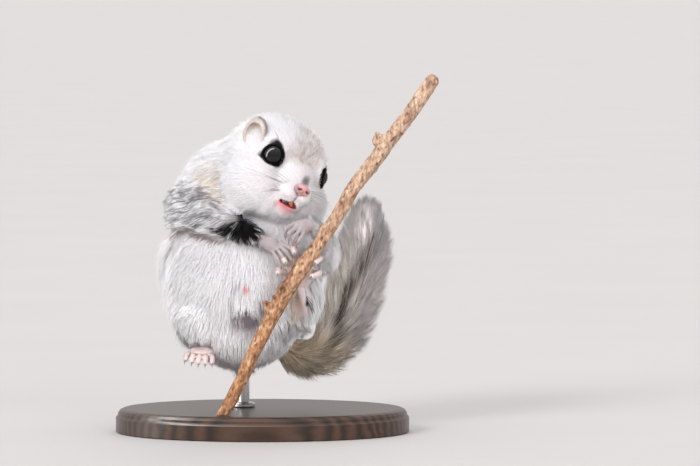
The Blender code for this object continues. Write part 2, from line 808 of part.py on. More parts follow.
def stand_rod():
    form = bmesh.new()
    foot = BASE_TOP + GAP
    bmesh.ops.create_cone(
        form,
        cap_ends=True,
        segments=16,
        radius1=ROD_RADIUS * MM,
        radius2=ROD_RADIUS * MM,
        depth=(ROD_TOP - foot) * MM,
        matrix=Matrix.Translation(point((ROD_X, ROD_Y, (ROD_TOP + foot) / 2))),
    )
    mesh = bpy.data.meshes.new("rod")
    form.to_mesh(mesh)
    form.free()
    return mesh


# Every node, in the order in which each gives way to those before it

NODES = (
    ("twig", twig, BARK),
    ("stand_rod", stand_rod, STEEL),
    ("eye_left", lambda: eye(1), EYE_BLACK),
    ("eye_right", lambda: eye(-1), EYE_BLACK),
    ("nose", nose, SKIN_PINK),
    ("incisors", incisors, TOOTH),
    ("tongue", tongue, MOUTH_RED),
    ("jaw", jaw, FUR_WHITE),
    ("hand_right", right_hand, FUR_GREY),
    ("hand_left", left_hand, FUR_GREY),
    ("head", head, FUR_WHITE),
    ("ear_left", lambda: ear(1), FUR_WHITE),
    ("ear_right", lambda: ear(-1), FUR_WHITE),
    ("forearm_right", right_forearm, FUR_GREY),
    ("forearm_left", left_forearm, FUR_WHITE),
    ("upper_arm_right", right_upper_arm, FUR_WHITE),
    ("upper_arm_left", left_upper_arm, FUR_WHITE),
    ("foot_left", left_foot, SKIN_PINK),
    ("foot_right", right_foot, FUR_GREY),
    ("shin_left", left_shin, FUR_BUFF),
    ("shin_right", right_shin, FUR_GREY),
    ("thigh_left", left_thigh, FUR_GREY),
    ("thigh_right", right_thigh, FUR_WHITE),
    ("flying_skin_left", left_skin, FUR_GREY),
    ("flying_skin_right", right_skin, FUR_GREY),
    ("neck", lambda: halved(BODY["trunk"], 1), FUR_WHITE),
    ("torso", lambda: halved(BODY["trunk"], -1), FUR_WHITE),
    ("tail_root", lambda: tail_part(-1), FUR_BUFF),
    ("tail_brush", lambda: tail_part(1), FUR_BUFF),
    ("stand_base", stand_base, STAND_WOOD),
)
BODY = {}


def finish(name, colour):
    material = bpy.data.materials.new(name)
    material.use_nodes = True
    shader = material.node_tree.nodes["Principled BSDF"]
    shader.inputs["Base Color"].default_value = (*colour, 1.0)
    shader.inputs["Metallic"].default_value = 0.9 if colour == STEEL else 0.0
    shader.inputs["Roughness"].default_value = 0.1 if colour == EYE_BLACK else 0.7
    return material


def main():
    clear_scene()
    BODY["trunk"] = trunk()
    BODY["brush"] = brush()
    done, rooms = {}, []
    for name, make, colour in NODES:
        made = make()
        mesh, plain = made if isinstance(made, tuple) else (made, [made])
        taken = [room_of(form) for form in plain]
        cutters = [room for room in rooms if near(mesh, room)]
        if cutters:
            mesh = boolean(mesh, cutters, "DIFFERENCE")
        keep_largest(mesh)
        mesh.materials.clear()
        mesh.materials.append(finish(name, colour))
        rooms.extend(taken)
        done[name] = mesh
    for name, mesh in done.items():
        mesh.transform(Matrix.Translation(point((0, 0, -FLOOR))))
        made = add_object(name, mesh)
        made.data.shade_smooth()
        made.data.set_sharp_from_angle(angle=math.radians(50))


if __name__ == "__main__":
    main()
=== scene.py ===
# %% [markdown]
# # A flying squirrel in its winter coat
# This lesson dresses a life-size model of a Siberian flying squirrel. The solids of the model are
# loaded first and never moved. Everything else is built round them: one skin, a coat of tens of
# thousands of small tufts, the wet eyes and nose, the twig that it grips, and the stand.
# Lengths are written in millimetres, as on a taxidermist's sheet, and MM turns them into metres.

# %% Load the solids
import math

import bmesh
import bpy
import numpy as np
from mathutils import Euler, Matrix, Vector
from mathutils.bvhtree import BVHTree
from mathutils.kdtree import KDTree


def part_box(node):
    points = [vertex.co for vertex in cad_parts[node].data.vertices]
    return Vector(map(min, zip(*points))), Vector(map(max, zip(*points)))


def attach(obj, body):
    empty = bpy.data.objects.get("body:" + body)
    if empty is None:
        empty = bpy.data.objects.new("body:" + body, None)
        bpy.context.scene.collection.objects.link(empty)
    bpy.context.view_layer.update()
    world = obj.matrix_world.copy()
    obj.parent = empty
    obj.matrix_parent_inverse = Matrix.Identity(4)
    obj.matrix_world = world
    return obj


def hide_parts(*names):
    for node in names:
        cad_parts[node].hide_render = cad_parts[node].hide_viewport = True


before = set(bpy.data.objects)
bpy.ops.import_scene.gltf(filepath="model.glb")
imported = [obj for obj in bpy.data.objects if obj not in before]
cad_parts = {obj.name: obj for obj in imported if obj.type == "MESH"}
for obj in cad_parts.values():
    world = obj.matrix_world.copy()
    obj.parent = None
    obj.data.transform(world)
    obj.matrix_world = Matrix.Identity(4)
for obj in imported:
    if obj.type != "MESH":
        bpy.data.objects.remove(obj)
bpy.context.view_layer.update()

MM = 0.001

# %% [markdown]
# ## The head's own directions
# The animal turns and tilts its head, so everything on the face is easier to place in the head's
# own directions: x to its left, y back from the nose, z up. One matrix carries such a place into
# the model. The eyes of the solids show that the matrix is right.

# %% Place and turn of the head
HEAD_MIDDLE = (6.1, -13.0, 110.7)
HEAD_YAW, HEAD_PITCH, HEAD_ROLL = 31.0, 6.5, 23.0
EYE_MIDDLE = Vector((11.7, -12.7, 4.2))
EYE_OUT = Vector((0.70, -0.69, 0.20)).normalized()
EYE_RADIUS = 4.5


def turned(angle, axis):
    return Matrix.Rotation(math.radians(angle), 4, axis)


HEAD_TURN = turned(HEAD_YAW, "Z") @ turned(HEAD_PITCH, "X") @ turned(HEAD_ROLL, "Y")
IN_HEAD = Matrix.Translation(HEAD_MIDDLE) @ HEAD_TURN
IN_BODY = Matrix.Identity(4)


def mirrored(place, side):
    """A place or direction of the left half of the head, on its left (1) or right (-1) side."""
    return Vector((place[0] * side, place[1], place[2]))


for side, name in ((1, "eye_left"), (-1, "eye_right")):
    low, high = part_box(name)
    off = (IN_HEAD @ mirrored(EYE_MIDDLE, side)) * MM - (low + high) / 2
    print(name, "lies", round(off.length / MM, 2), "mm from where the head says")

# %% [markdown]
# ## Working with many points
# Fur needs sums over hundreds of thousands of points, which plain loops are too slow for. These
# helpers move a mesh's places in and out of numpy arrays, in millimetres, and run a modifier
# on a mesh and keep the result.

# %% Helpers for meshes and arrays


def places_of(mesh):
    flat = np.empty(len(mesh.vertices) * 3, np.float32)
    mesh.vertices.foreach_get("co", flat)
    return flat.reshape(-1, 3).astype(float) / MM


def normals_of(mesh):
    flat = np.empty(len(mesh.vertices) * 3, np.float32)
    mesh.vertex_normals.foreach_get("vector", flat)
    return flat.reshape(-1, 3).astype(float)


def edges_of(mesh):
    flat = np.empty(len(mesh.edges) * 2, np.int32)
    mesh.edges.foreach_get("vertices", flat)
    return flat.reshape(-1, 2)


def triangles_of(mesh):
    mesh.calc_loop_triangles()
    flat = np.empty(len(mesh.loop_triangles) * 3, np.int32)
    mesh.loop_triangles.foreach_get("vertices", flat)
    return flat.reshape(-1, 3)


def set_places(mesh, points):
    mesh.vertices.foreach_set("co", (points * MM).astype(np.float32).ravel())
    mesh.update()


def unit(vectors):
    return vectors / np.maximum(np.linalg.norm(vectors, axis=-1, keepdims=True), 1e-9)


def placed(name, data):
    """A new object of the scene that shows a mesh, lamp or camera."""
    made = bpy.data.objects.new(name, data)
    bpy.context.scene.collection.objects.link(made)
    return made


def shaped(mesh, *steps):
    """The mesh after some modifiers, each given as its kind and settings."""
    work = placed("work", mesh)
    for kind, settings in steps:
        step = work.modifiers.new(kind, kind)
        for name, value in settings.items():
            setattr(step, name, value)
    graph = bpy.context.evaluated_depsgraph_get()
    made = bpy.data.meshes.new_from_object(work.evaluated_get(graph))
    bpy.data.objects.remove(work)
    return made


def fused(mesh, voxel, rounds):
    """One closed, smoothed mesh from overlapping lumps, in cells of that many millimetres."""
    made = shaped(
        mesh,
        ("REMESH", {"mode": "VOXEL", "voxel_size": voxel * MM}),
        ("SMOOTH", {"factor": 0.5, "iterations": rounds}),
    )
    made.shade_smooth()
    return made


def as_mesh(form, name):
    mesh = bpy.data.meshes.new(name)
    form.to_mesh(mesh)
    form.free()
    return mesh


def as_piece(name, mesh, material, nodes=()):
    """A finished piece: it rides on the body, and stands for the solids that it replaces."""
    made = placed(name, mesh)
    mesh.materials.clear()
    mesh.materials.append(material)
    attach(made, "root")
    if nodes:
        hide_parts(*nodes)
    mesh.calc_loop_triangles()
    print(name, "has", len(mesh.loop_triangles), "triangles")
    return made


# %% [markdown]
# ## Lumps of clay
# Round parts are modelled as a sculptor would, from overlapping balls of clay. A limb is a string
# of balls along a smooth curve. The voxel remesh above then fuses them.

# %% Balls, smooth lines and limbs


def add_ball(clay, middle, radii, turn=(0, 0, 0), frame_of=IN_BODY, detail=3):
    tilt = Euler([math.radians(angle) for angle in turn]).to_matrix().to_4x4()
    turned_there = Matrix.Scale(MM, 4) @ frame_of @ Matrix.Translation(middle) @ tilt
    place = turned_there @ Matrix.Diagonal((*radii, 1))
    bmesh.ops.create_icosphere(clay, subdivisions=detail, radius=1.0, matrix=place)


def smooth_line(knots, steps):
    """Points of a Catmull-Rom curve through knots of (place, radius), as (vector, radius)."""
    spots = [Vector((*place, radius)) for place, radius in knots]
    spots = [2 * spots[0] - spots[1], *spots, 2 * spots[-1] - spots[-2]]
    line = []
    for a, b, c, d in zip(spots, spots[1:], spots[2:], spots[3:]):
        for step in range(steps):
            t = step / steps
            line.append(
                0.5 * (2 * b + (c - a) * t + (2 * a - 5 * b + 4 * c - d) * t**2)
                + 0.5 * (3 * b - a - 3 * c + d) * t**3
            )
    line.append(spots[-2])
    return [(Vector(spot[:3]), spot[3]) for spot in line]


def add_limb(clay, knots, steps=6, frame_of=IN_BODY, detail=2):
    for place, radius in smooth_line(knots, steps):
        add_ball(clay, place, (radius,) * 3, frame_of=frame_of, detail=detail)


def add_node(clay, name, swell):
    """Adds a copy of a solid to the clay, swollen outwards by some millimetres."""
    part = bmesh.new()
    part.from_mesh(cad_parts[name].data)
    bmesh.ops.remove_doubles(part, verts=part.verts, dist=0.01 * MM)
    part.normal_update()
    for vert in part.verts:
        vert.co += vert.normal * swell * MM
    clay.from_mesh(as_mesh(part, name))


# %% [markdown]
# ## Even noise
# Nothing on an animal is quite even. This noise gives every point in space a smooth value from
# -1 to 1, from a few waves in fixed, seeded directions, so it is the same on every run.

# %% Noise in space


def waves(points, size, seed, count=7):
    """Smooth noise whose bumps are about that many millimetres across."""
    draw = np.random.RandomState(seed)
    total = np.zeros(len(points))
    for _ in range(count):
        way = draw.normal(size=3)
        way *= draw.uniform(0.7, 1.5) * math.pi / size / np.linalg.norm(way)
        bend = 1.7 * np.sin(points @ way[[1, 2, 0]] * 0.6)
        total += np.sin(points @ way + draw.uniform(0, math.tau) + bend)
    return total / math.sqrt(count) / 1.2


def smoothed(values, edges, rounds):
    """Values on a mesh's vertices, each drawn towards its neighbours' mean."""
    count = len(values)
    ends = np.concatenate((edges[:, 0], edges[:, 1]))
    others = np.concatenate((edges[:, 1], edges[:, 0]))
    share = np.maximum(np.bincount(ends, minlength=count), 1)[:, None]
    flat = values.reshape(count, -1).copy()
    for _ in range(rounds):
        means = [np.bincount(ends, flat[others, k], minlength=count) for k in range(flat.shape[1])]
        flat = 0.4 * flat + 0.6 * np.stack(means, 1) / share
    return flat.reshape(values.shape)


# %% [markdown]
# ## The skin
# Under the coat there is one skin. Copies of the large fleshy solids are swollen until they meet,
# and fused. The tail gets only its bone, because its brush is all hair, and the hind feet get
# only their furry part. The lips are rounded with a few balls, so that the mouth smiles. Ears,
# hands and toes are modelled finer, further down, and joined on.

# %% Fuse the flesh
HEAD_NODES = ("head", "jaw")
TRUNK_NODES = ("neck", "torso", "flying_skin_left", "flying_skin_right")
RIGHT_ARM_NODES = ("upper_arm_right", "forearm_right")
LEFT_ARM_NODES = ("upper_arm_left", "forearm_left")
RIGHT_LEG_NODES = ("thigh_right", "shin_right")
LEFT_LEG_NODES = ("thigh_left", "shin_left")
GROUPS = (HEAD_NODES, TRUNK_NODES, RIGHT_ARM_NODES, LEFT_ARM_NODES, RIGHT_LEG_NODES, LEFT_LEG_NODES)
HEAD, TRUNK, RIGHT_ARM, LEFT_ARM, RIGHT_LEG, LEFT_LEG, TAIL, HAND, FOOT, EAR, INNER_EAR = range(11)
FLESH = [name for group in GROUPS for name in group]
HEAD_SWELL = 0.36
BODY_SWELL = 1.0
SKIN_CELL = 0.52
TAIL_LINE = (
    ((4.0, 17.0, 40.0), 7.0),
    ((12.0, 12.0, 33.0), 6.6),
    ((21.0, 6.0, 32.2), 6.0),
    ((29.5, 1.5, 38.0), 5.2),
    ((36.4, -1.0, 48.5), 4.4),
    ((41.0, -2.0, 62.0), 3.8),
    ((43.9, -2.0, 75.0), 3.2),
    ((44.6, -2.0, 86.0), 2.2),
)
TAIL_BONE = 0.42
LEFT_SOLE = (((18.0, -20.0, 48.5), 5.0), ((18.0, -25.0, 55.0), 5.2), ((16.4, -28.6, 62.5), 5.2))
RIGHT_SOLE = (((-20.0, 1.0, 36.5), 4.4), ((-22.5, -8.0, 35.4), 4.4), ((-24.8, -15.0, 35.0), 4.2))
LIPS = (
    ((-4.4, -20.2, -9.5), 1.3), ((-2.6, -21.2, -9.7), 1.5), ((-1.3, -21.8, -9.5), 1.3),
    ((2.4, -21.2, -10.6), 1.6), ((3.8, -20.4, -11.4), 1.6), ((5.2, -19.0, -11.8), 1.6),
)
clay = bmesh.new()
for name in FLESH:
    add_node(clay, name, HEAD_SWELL if name in HEAD_NODES else BODY_SWELL)
for place, radius in LIPS:
    add_ball(clay, place, (radius,) * 3, frame_of=IN_HEAD)
for place, radius in smooth_line(TAIL_LINE, 8):
    add_ball(clay, place, (radius * TAIL_BONE,) * 3, detail=2)
for sole in (LEFT_SOLE, RIGHT_SOLE):
    add_limb(clay, sole)
body = fused(as_mesh(clay, "body"), SKIN_CELL, 6)
print("the fused flesh has", len(body.vertices), "points")

# %% [markdown]
# ## How the coat lies
# A coat is combed before it is grown. At a few places on the body a taxidermist would note which
# way the hair lies, how long it is and how far it gathers into locks, and every other place takes a
# blend of the nearest notes. The notes for the head are in its own directions, for its left half,
# and serve both sides.

# %% The notes for the head: place, lie, length
HEAD_COMB = (
    ((0, -24, 0), (0, 0.35, 0.94), 0.9),
    ((0, -20, 5), (0, 0.45, 0.9), 1.5),
    ((0, -16, 13), (0, 0.6, 0.8), 2.4),
    ((0, -4, 21), (0, 1, 0.25), 3.6),
    ((0, 14, 18), (0, 0.8, -0.6), 5.0),
    ((0, 22, 4), (0, 0.3, -0.95), 6.0),
    ((4.5, -22, -5), (0.5, 0.8, 0.35), 0.9),
    ((3.5, -23, -9), (0.7, 0.6, -0.4), 0.9),
    ((8, -18.5, -3), (0.75, 0.6, 0.2), 1.3),
    ((8, -17, 8), (0.45, 0.55, 0.7), 1.6),
    ((17, -12, 5), (0.5, 0.8, 0.1), 1.6),
    ((12, -15, -3), (0.8, 0.55, -0.1), 1.6),
    ((12, -9, 14), (0.45, 0.75, 0.5), 2.2),
    ((14, -15, -10), (0.75, 0.55, -0.3), 2.6),
    ((21, -6, -5), (0.5, 0.8, -0.3), 3.4),
    ((23, 2, -9), (0.1, 0.9, -0.4), 4.8),
    ((17, -8, -19), (0.5, 0.5, -0.7), 4.0),
    ((19, 10, 4), (0.2, 0.9, -0.4), 4.6),
    ((19, -6, 6), (0.2, 0.7, 0.7), 2.6),
    ((18, -2, 13), (0.1, 0.8, 0.6), 2.2),
    ((6, -18, -16), (0.5, 0.55, -0.7), 1.6),
    ((0, -19, -17), (0, 0.6, -0.8), 1.5),
    ((0, -10, -22), (0, 0.95, -0.3), 3.6),
    ((8, 0, -22), (0.3, 0.9, -0.3), 4.4),
)

# %% The notes for the body: group, place, lie, length, locks
BODY_COMB = (
    (TRUNK, (-16, -4, 112), (-0.8, 0.0, -0.55), 6.0, 0.35),
    (TRUNK, (-28, -4, 104), (-0.85, 0.0, -0.5), 8.0, 0.5),
    (TRUNK, (-5, 14, 112), (-0.1, 0.6, -0.75), 7.0, 0.35),
    (TRUNK, (18, -4, 100), (0.7, 0.1, -0.7), 5.5, 0.2),
    (TRUNK, (5, -28, 90), (0.3, -0.5, -0.8), 4.5, 0.1),
    (TRUNK, (-12, -28, 78), (-0.15, -0.3, -0.95), 5.5, 0.0),
    (TRUNK, (8, -30, 66), (0.15, 0.0, -1.0), 5.5, 0.05),
    (TRUNK, (-12, -34, 60), (-0.1, 0.0, -1.0), 6.5, 0.0),
    (TRUNK, (-30, -22, 62), (-0.45, 0.1, -0.9), 6.5, 0.05),
    (TRUNK, (-38, -4, 72), (-0.45, 0.35, -0.85), 7.5, 0.15),
    (TRUNK, (-36, 4, 50), (-0.35, 0.3, -0.9), 8.0, 0.3),
    (TRUNK, (-10, -28, 38), (0.0, 0.35, -0.95), 7.0, 0.12),
    (TRUNK, (-10, -14, 28), (0.0, 0.75, -0.65), 7.5, 0.3),
    (TRUNK, (16, -6, 45), (0.35, 0.3, -0.85), 7.0, 0.35),
    (TRUNK, (-10, 24, 95), (0.0, 0.4, -0.9), 8.0, 0.35),
    (TRUNK, (-10, 31, 65), (0.0, 0.0, -1.0), 8.0, 0.35),
    (TRUNK, (-6, 26, 38), (0.2, -0.3, -0.9), 8.0, 0.35),
    (TRUNK, (14, 12, 85), (0.4, 0.4, -0.85), 7.5, 0.35),
    (TRUNK, (16, 10, 60), (0.3, 0.3, -0.9), 7.5, 0.35),
    (RIGHT_ARM, (-22, -16, 104), (-0.97, -0.1, -0.05), 7.5, 0.7),
    (RIGHT_ARM, (-30, -14, 98), (-0.97, 0.0, -0.10), 8.0, 0.7),
    (RIGHT_ARM, (-13, -26, 96), (-0.85, -0.15, 0.30), 5.5, 0.7),
    (RIGHT_ARM, (-37, -10, 92), (-0.75, 0.2, -0.5), 7.5, 0.6),
    (RIGHT_ARM, (-26, -22, 93), (-0.92, -0.1, -0.38), 7.5, 0.6),
    (RIGHT_ARM, (-15, -29, 91), (-0.85, -0.15, -0.5), 6.5, 0.6),
    (RIGHT_ARM, (-18, -27, 86), (-0.9, 0.0, -0.25), 6.0, 0.6),
    (RIGHT_ARM, (-8, -33, 87), (-0.35, -0.2, -0.9), 5.0, 0.6),
    (RIGHT_ARM, (-2, -33, 84), (0.6, -0.2, -0.75), 3.6, 0.6),
    (LEFT_ARM, (22, -18, 92), (0.3, -0.1, -0.95), 5.5, 0.3),
    (LEFT_ARM, (26, -20, 78), (0.3, 0.0, -0.95), 5.5, 0.3),
    (LEFT_ARM, (23, -29, 84), (-0.2, -0.5, 0.8), 3.6, 0.3),
    (RIGHT_LEG, (-26, -24, 55), (-0.35, -0.1, -0.95), 7.0, 0.3),
    (RIGHT_LEG, (-34, -8, 50), (-0.45, 0.1, -0.9), 8.0, 0.3),
    (RIGHT_LEG, (-24, -12, 37), (-0.25, -0.15, -0.95), 7.5, 0.3),
    (RIGHT_LEG, (-20, 2, 36), (-0.1, 0.2, -0.95), 7.0, 0.3),
    (LEFT_LEG, (10, -26, 62), (0.2, -0.1, -0.97), 6.0, 0.5),
    (LEFT_LEG, (14, -26, 44), (0.25, -0.1, -0.95), 7.5, 0.5),
    (LEFT_LEG, (22, -12, 58), (0.4, 0.0, -0.9), 7.0, 0.5),
    (LEFT_LEG, (6, -24, 38), (0.2, 0.0, -0.97), 7.5, 0.5),
    (TAIL, (12, 12, 33), (0.75, -0.5, 0.1), 6.0, 0.4),
    (TAIL, (36, -1, 48), (0.45, 0.0, 0.9), 6.0, 0.4),
)
print("the coat has", len(HEAD_COMB), "notes for the head and", len(BODY_COMB), "for the body")

# %% [markdown]
# ## Comb the skin
# Each point of the skin first finds the solid that it came from, and with it the group of notes
# that it may read, so that belly hair doesn't follow the arm in front of it. The blend is then
# smoothed along the skin, and turned to lie in it.

# %% Which part each point belongs to


def tree_of(names):
    """A search tree of some solids' faces, in millimetres, and each face's place in the names."""
    points, faces, owners, start = [], [], [], 0
    for number, name in enumerate(names):
        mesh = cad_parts[name].data
        points.append(places_of(mesh))
        found = triangles_of(mesh)
        faces.append(found + start)
        owners.append(np.full(len(found), number))
        start += len(points[-1])
    tree = BVHTree.FromPolygons(np.concatenate(points).tolist(), np.concatenate(faces).tolist())
    return tree, np.concatenate(owners)


flesh_tree, flesh_owner = tree_of(FLESH)
group_of_name = {name: number for number, group in enumerate(GROUPS) for name in group}
group_of_number = np.array([group_of_name[name] for name in FLESH])
tail_points = np.array([place for place, _ in smooth_line(TAIL_LINE, 8)])
TAIL_REACH = 3.6


def groups_at(points):
    nearest = [flesh_tree.find_nearest(point)[2] for point in points.tolist()]
    group = group_of_number[flesh_owner[np.array(nearest)]]
    gap = np.min([np.linalg.norm(points - spot, axis=1) for spot in tail_points[3:]], axis=0)
    group[(gap < TAIL_REACH) & (group != HEAD)] = TAIL
    return group


# %% Blend the notes


HEAD_LOCKS = 0.08


def notes():
    """Every note's group, place, lie, length and locks, in the model's directions."""
    rows = list(BODY_COMB)
    for place, lie, length in HEAD_COMB:
        for side in (1, -1) if place[0] else (1,):
            spot = IN_HEAD @ mirrored(place, side)
            way = HEAD_TURN.to_3x3() @ mirrored(lie, side)
            rows.append((HEAD, tuple(spot), tuple(way), length, HEAD_LOCKS))
    return rows


NOTES = notes()
NOTE_GROUP = np.array([row[0] for row in NOTES])
NOTE_PLACE = np.array([row[1] for row in NOTES], float)
NOTE_LIE = unit(np.array([row[2] for row in NOTES], float))
NOTE_LENGTH = np.array([row[3:5] for row in NOTES], float)
NOTE_BLUR = 2.5
EVENING = 24


def combed(points, group):
    """The lie of the hair at some points, and its length and locks, from their groups' notes."""
    gaps = ((points[:, None, :] - NOTE_PLACE[None]) ** 2).sum(2) + NOTE_BLUR**2
    weight = gaps**-2 * (NOTE_GROUP[None] == group[:, None])
    weight /= weight.sum(1, keepdims=True)
    return weight @ NOTE_LIE, weight @ NOTE_LENGTH


def laid(ways, normals):
    """Directions turned into the surface."""
    return unit(ways - normals * (ways * normals).sum(1, keepdims=True))


body_group = groups_at(places_of(body))
on_head = smoothed((body_group == HEAD) * 1.0, edges_of(body), 8)
evened = smoothed(places_of(body), edges_of(body), EVENING)
set_places(body, evened + (places_of(body) - evened) * on_head[:, None])
body_lie, body_length = combed(places_of(body), body_group)
body_lie = smoothed(body_lie, edges_of(body), 14)
body_length = smoothed(body_length, edges_of(body), 14)
body_length, body_locks = body_length[:, 0], body_length[:, 1]
print("hair is from", round(body_length.min(), 1), "to", round(body_length.max(), 1), "mm long")

# %% [markdown]
# ## Sink the skin
# The solids reach out to the tips of the coat, so the skin has to lie inside them by the depth of
# the hair. Hair that lies back stands up by about four tenths of its length. Where an arm or a fold
# is thin, the skin sinks less, or it would turn inside out. How far it sank is kept, because
# the tufts later rise by as much. The mouth keeps its size, and isn't sunk.

# %% The opening of the mouth, in the head's own directions


def mouth_arc(steps, size):
    """The slit of the open mouth, as balls along it from one corner to the other."""
    balls = []
    for step in range(steps + 1):
        turn = math.radians(-62 + 124 * step / steps)
        deep = math.cos(turn) ** 2
        spot = (5.0 * math.sin(turn), -16.8 - 4.4 * math.cos(turn), -11.7 + 0.3 * abs(math.sin(turn)))
        balls.append((spot, size * (0.45 + 0.55 * deep)))
    return balls


MOUTH = mouth_arc(10, 2.0)

# %% Sink each point by the depth of its hair
STANDING = 0.40
THIN_PART = 0.30


def in_head(points):
    """Points of the model, in the head's own directions."""
    back = np.array(IN_HEAD.inverted())
    return points @ back[:3, :3].T + back[:3, 3]


def ball_line_cover(points, line, blur):
    """1 inside a line of balls, and less over the blur outside it."""
    best = np.full(len(points), 1e9)
    for (start, near_size), (end, far_size) in zip(line, line[1:]):
        start, end = np.array(start, float), np.array(end, float)
        along = end - start
        share = np.clip((points - start) @ along / (along @ along), 0, 1)
        gap = np.linalg.norm(points - start - share[:, None] * along, axis=1)
        best = np.minimum(best, gap - near_size - (far_size - near_size) * share)
    return np.clip(1 - best / blur, 0, 1)


body_points = places_of(body)
body_normals = unit(smoothed(normals_of(body), edges_of(body), 6))
body_tree = BVHTree.FromPolygons(body_points.tolist(), triangles_of(body).tolist())
thickness = np.full(len(body_points), 40.0)
for index, (point, normal) in enumerate(zip(body_points, body_normals)):
    found = body_tree.ray_cast(Vector(point - normal * 0.05), Vector(-normal), 40.0)
    if found[0] is not None:
        thickness[index] = found[3]
body_loft = np.minimum(body_length * STANDING, thickness * THIN_PART)
body_loft[body_group == TAIL] = 0.0
body_loft = smoothed(body_loft, edges_of(body), 10)
mouth_share = ball_line_cover(in_head(body_points), MOUTH, 1.2) * (body_group == HEAD)
body_loft *= 1 - mouth_share
sunk = body_loft + (BODY_SWELL - HEAD_SWELL) * (1 - on_head)
set_places(body, body_points - body_normals * sunk[:, None])
body = shaped(body, ("SMOOTH", {"factor": 0.5, "iterations": 2}))
body_points = places_of(body)
body_normals = normals_of(body)
body_lie = laid(body_lie, body_normals)
print("the skin lies up to", round(body_loft.max(), 2), "mm under the tips of the coat")

# %% [markdown]
# ## Hands and feet
# A flying squirrel grips with long thin fingers, four on each hand and five on each foot. Every
# digit is a limb of clay from its root over its knuckle to its tip, with a round pad under the
# tip. The cells are much finer here than on the body, because a finger is two millimetres thick.

# %% Model the paws
PAW_CELL = 0.27
RIGHT_FINGERS = (
    ((4.4, -34.0, 79.0), (6.6, -36.4, 75.6), (8.2, -36.4, 72.6)),
    ((6.1, -34.4, 79.9), (9.0, -37.0, 76.2), (10.6, -36.8, 73.0)),
    ((7.5, -34.2, 80.8), (10.8, -36.6, 77.8), (12.6, -36.2, 74.9)),
    ((8.2, -33.6, 82.0), (11.8, -35.6, 79.8), (14.0, -35.0, 77.2)),
)
LEFT_FINGERS = (
    ((13.6, -35.6, 89.9), (10.4, -38.0, 87.8), (10.2, -36.2, 84.6)),
    ((14.6, -36.6, 88.4), (11.8, -39.2, 86.0), (11.6, -37.2, 83.2)),
    ((16.0, -37.0, 87.0), (13.6, -39.4, 84.4), (13.2, -37.2, 82.0)),
    ((17.6, -36.6, 85.8), (15.8, -38.6, 83.2), (15.0, -36.4, 81.2)),
)
LEFT_TOES = (
    ((11.0, -31.0, 69.0), (7.4, -35.0, 70.6), (7.0, -38.6, 69.6)),
    ((12.0, -31.0, 73.0), (9.4, -35.2, 75.4), (10.0, -39.4, 74.2)),
    ((14.4, -31.0, 76.0), (13.4, -35.0, 79.6), (13.8, -39.6, 78.2)),
    ((20.6, -31.0, 74.4), (24.6, -34.6, 75.4), (22.8, -38.4, 74.0)),
    ((21.4, -31.0, 69.6), (24.2, -34.6, 69.0), (21.4, -38.4, 68.2)),
)
RIGHT_TOES = (
    ((-21.6, -19.6, 33.6), (-20.8, -24.4, 33.4), (-20.6, -28.0, 31.4)),
    ((-23.6, -20.6, 33.7), (-23.4, -26.2, 33.6), (-23.4, -30.2, 31.4)),
    ((-25.6, -20.8, 33.8), (-26.0, -26.6, 33.8), (-26.2, -30.6, 31.6)),
    ((-27.6, -20.0, 34.0), (-28.6, -25.4, 34.0), (-29.0, -29.2, 32.0)),
    ((-29.2, -18.2, 34.4), (-31.0, -22.6, 34.4), (-31.8, -26.0, 32.6)),
)
RIGHT_PALM = (
    ((4.2, -33.4, 81.2), (4.0, 2.3, 3.1), (0, 35, 0)),
    ((1.2, -32.0, 82.3), (3.6, 2.3, 2.7), (0, 20, 0)),
)
LEFT_PALM = (
    ((16.6, -34.9, 88.2), (3.6, 2.4, 3.3), (0, -30, 0)),
    ((19.2, -33.4, 89.0), (3.4, 2.5, 2.8), (0, 0, 0)),
)
LEFT_SOLE_PAD = (((15.8, -29.6, 69.4), (6.4, 3.4, 6.8), (0, 20, 0)),)
RIGHT_SOLE_PAD = (((-25.4, -17.6, 34.6), (5.2, 5.2, 2.6), (0, 0, 10)),)
PAWS = (
    ("hand_right", HAND, RIGHT_PALM, RIGHT_FINGERS, 0.85),
    ("hand_left", HAND, LEFT_PALM, LEFT_FINGERS, 0.90),
    ("foot_right", FOOT, RIGHT_SOLE_PAD, RIGHT_TOES, 1.15),
    ("foot_left", FOOT, LEFT_SOLE_PAD, LEFT_TOES, 1.25),
)


def paw(name, palm, digits, radius):
    """One hand or foot, from its palm's lumps and its digits."""
    clay = bmesh.new()
    for middle, radii, turn in palm:
        add_ball(clay, middle, radii, turn)
    for root, knuckle, tip in digits:
        half = tuple((a + b) / 2 for a, b in zip(root, knuckle))
        knots = ((root, radius), (half, radius * 0.88), (knuckle, radius * 1.06), (tip, radius * 0.80))
        add_limb(clay, knots, 6)
        ahead = (Vector(tip) - Vector(knuckle)).normalized()
        inward = (Vector(palm[0][0]) - Vector(tip)).normalized()
        add_ball(clay, Vector(tip) - ahead * 0.2 + inward * radius * 0.35, (radius * 0.85,) * 3, detail=2)
    return fused(as_mesh(clay, name), PAW_CELL, 2)


paws = [(paw(name, palm, digits, radius), group, palm, digits) for name, group, palm, digits, radius in PAWS]
print("the paws have", sum(len(mesh.vertices) for mesh, *_ in paws), "points")

# %% [markdown]
# ## Ears
# The ears are short, round and thin. The right one is pricked up, and the left is folded back.
# Each begins as a ball, is cut open on the side that it listens to, and gets a wall of half a
# millimetre.

# %% Model the ears
EARS = {
    1: ((16.0, 5.0, 9.5), (0.25, 0.50, 0.82), (0.80, -0.60, 0.20)),
    -1: ((-18.7, -3.6, 6.6), (-0.15, 0.0, 0.95), (-0.90, -0.45, 0.0)),
}
EAR_RADII = (4.7, 2.7, 5.9)
EAR_RISE = 3.5
EAR_WALL = 0.55
EAR_CELL = 0.30


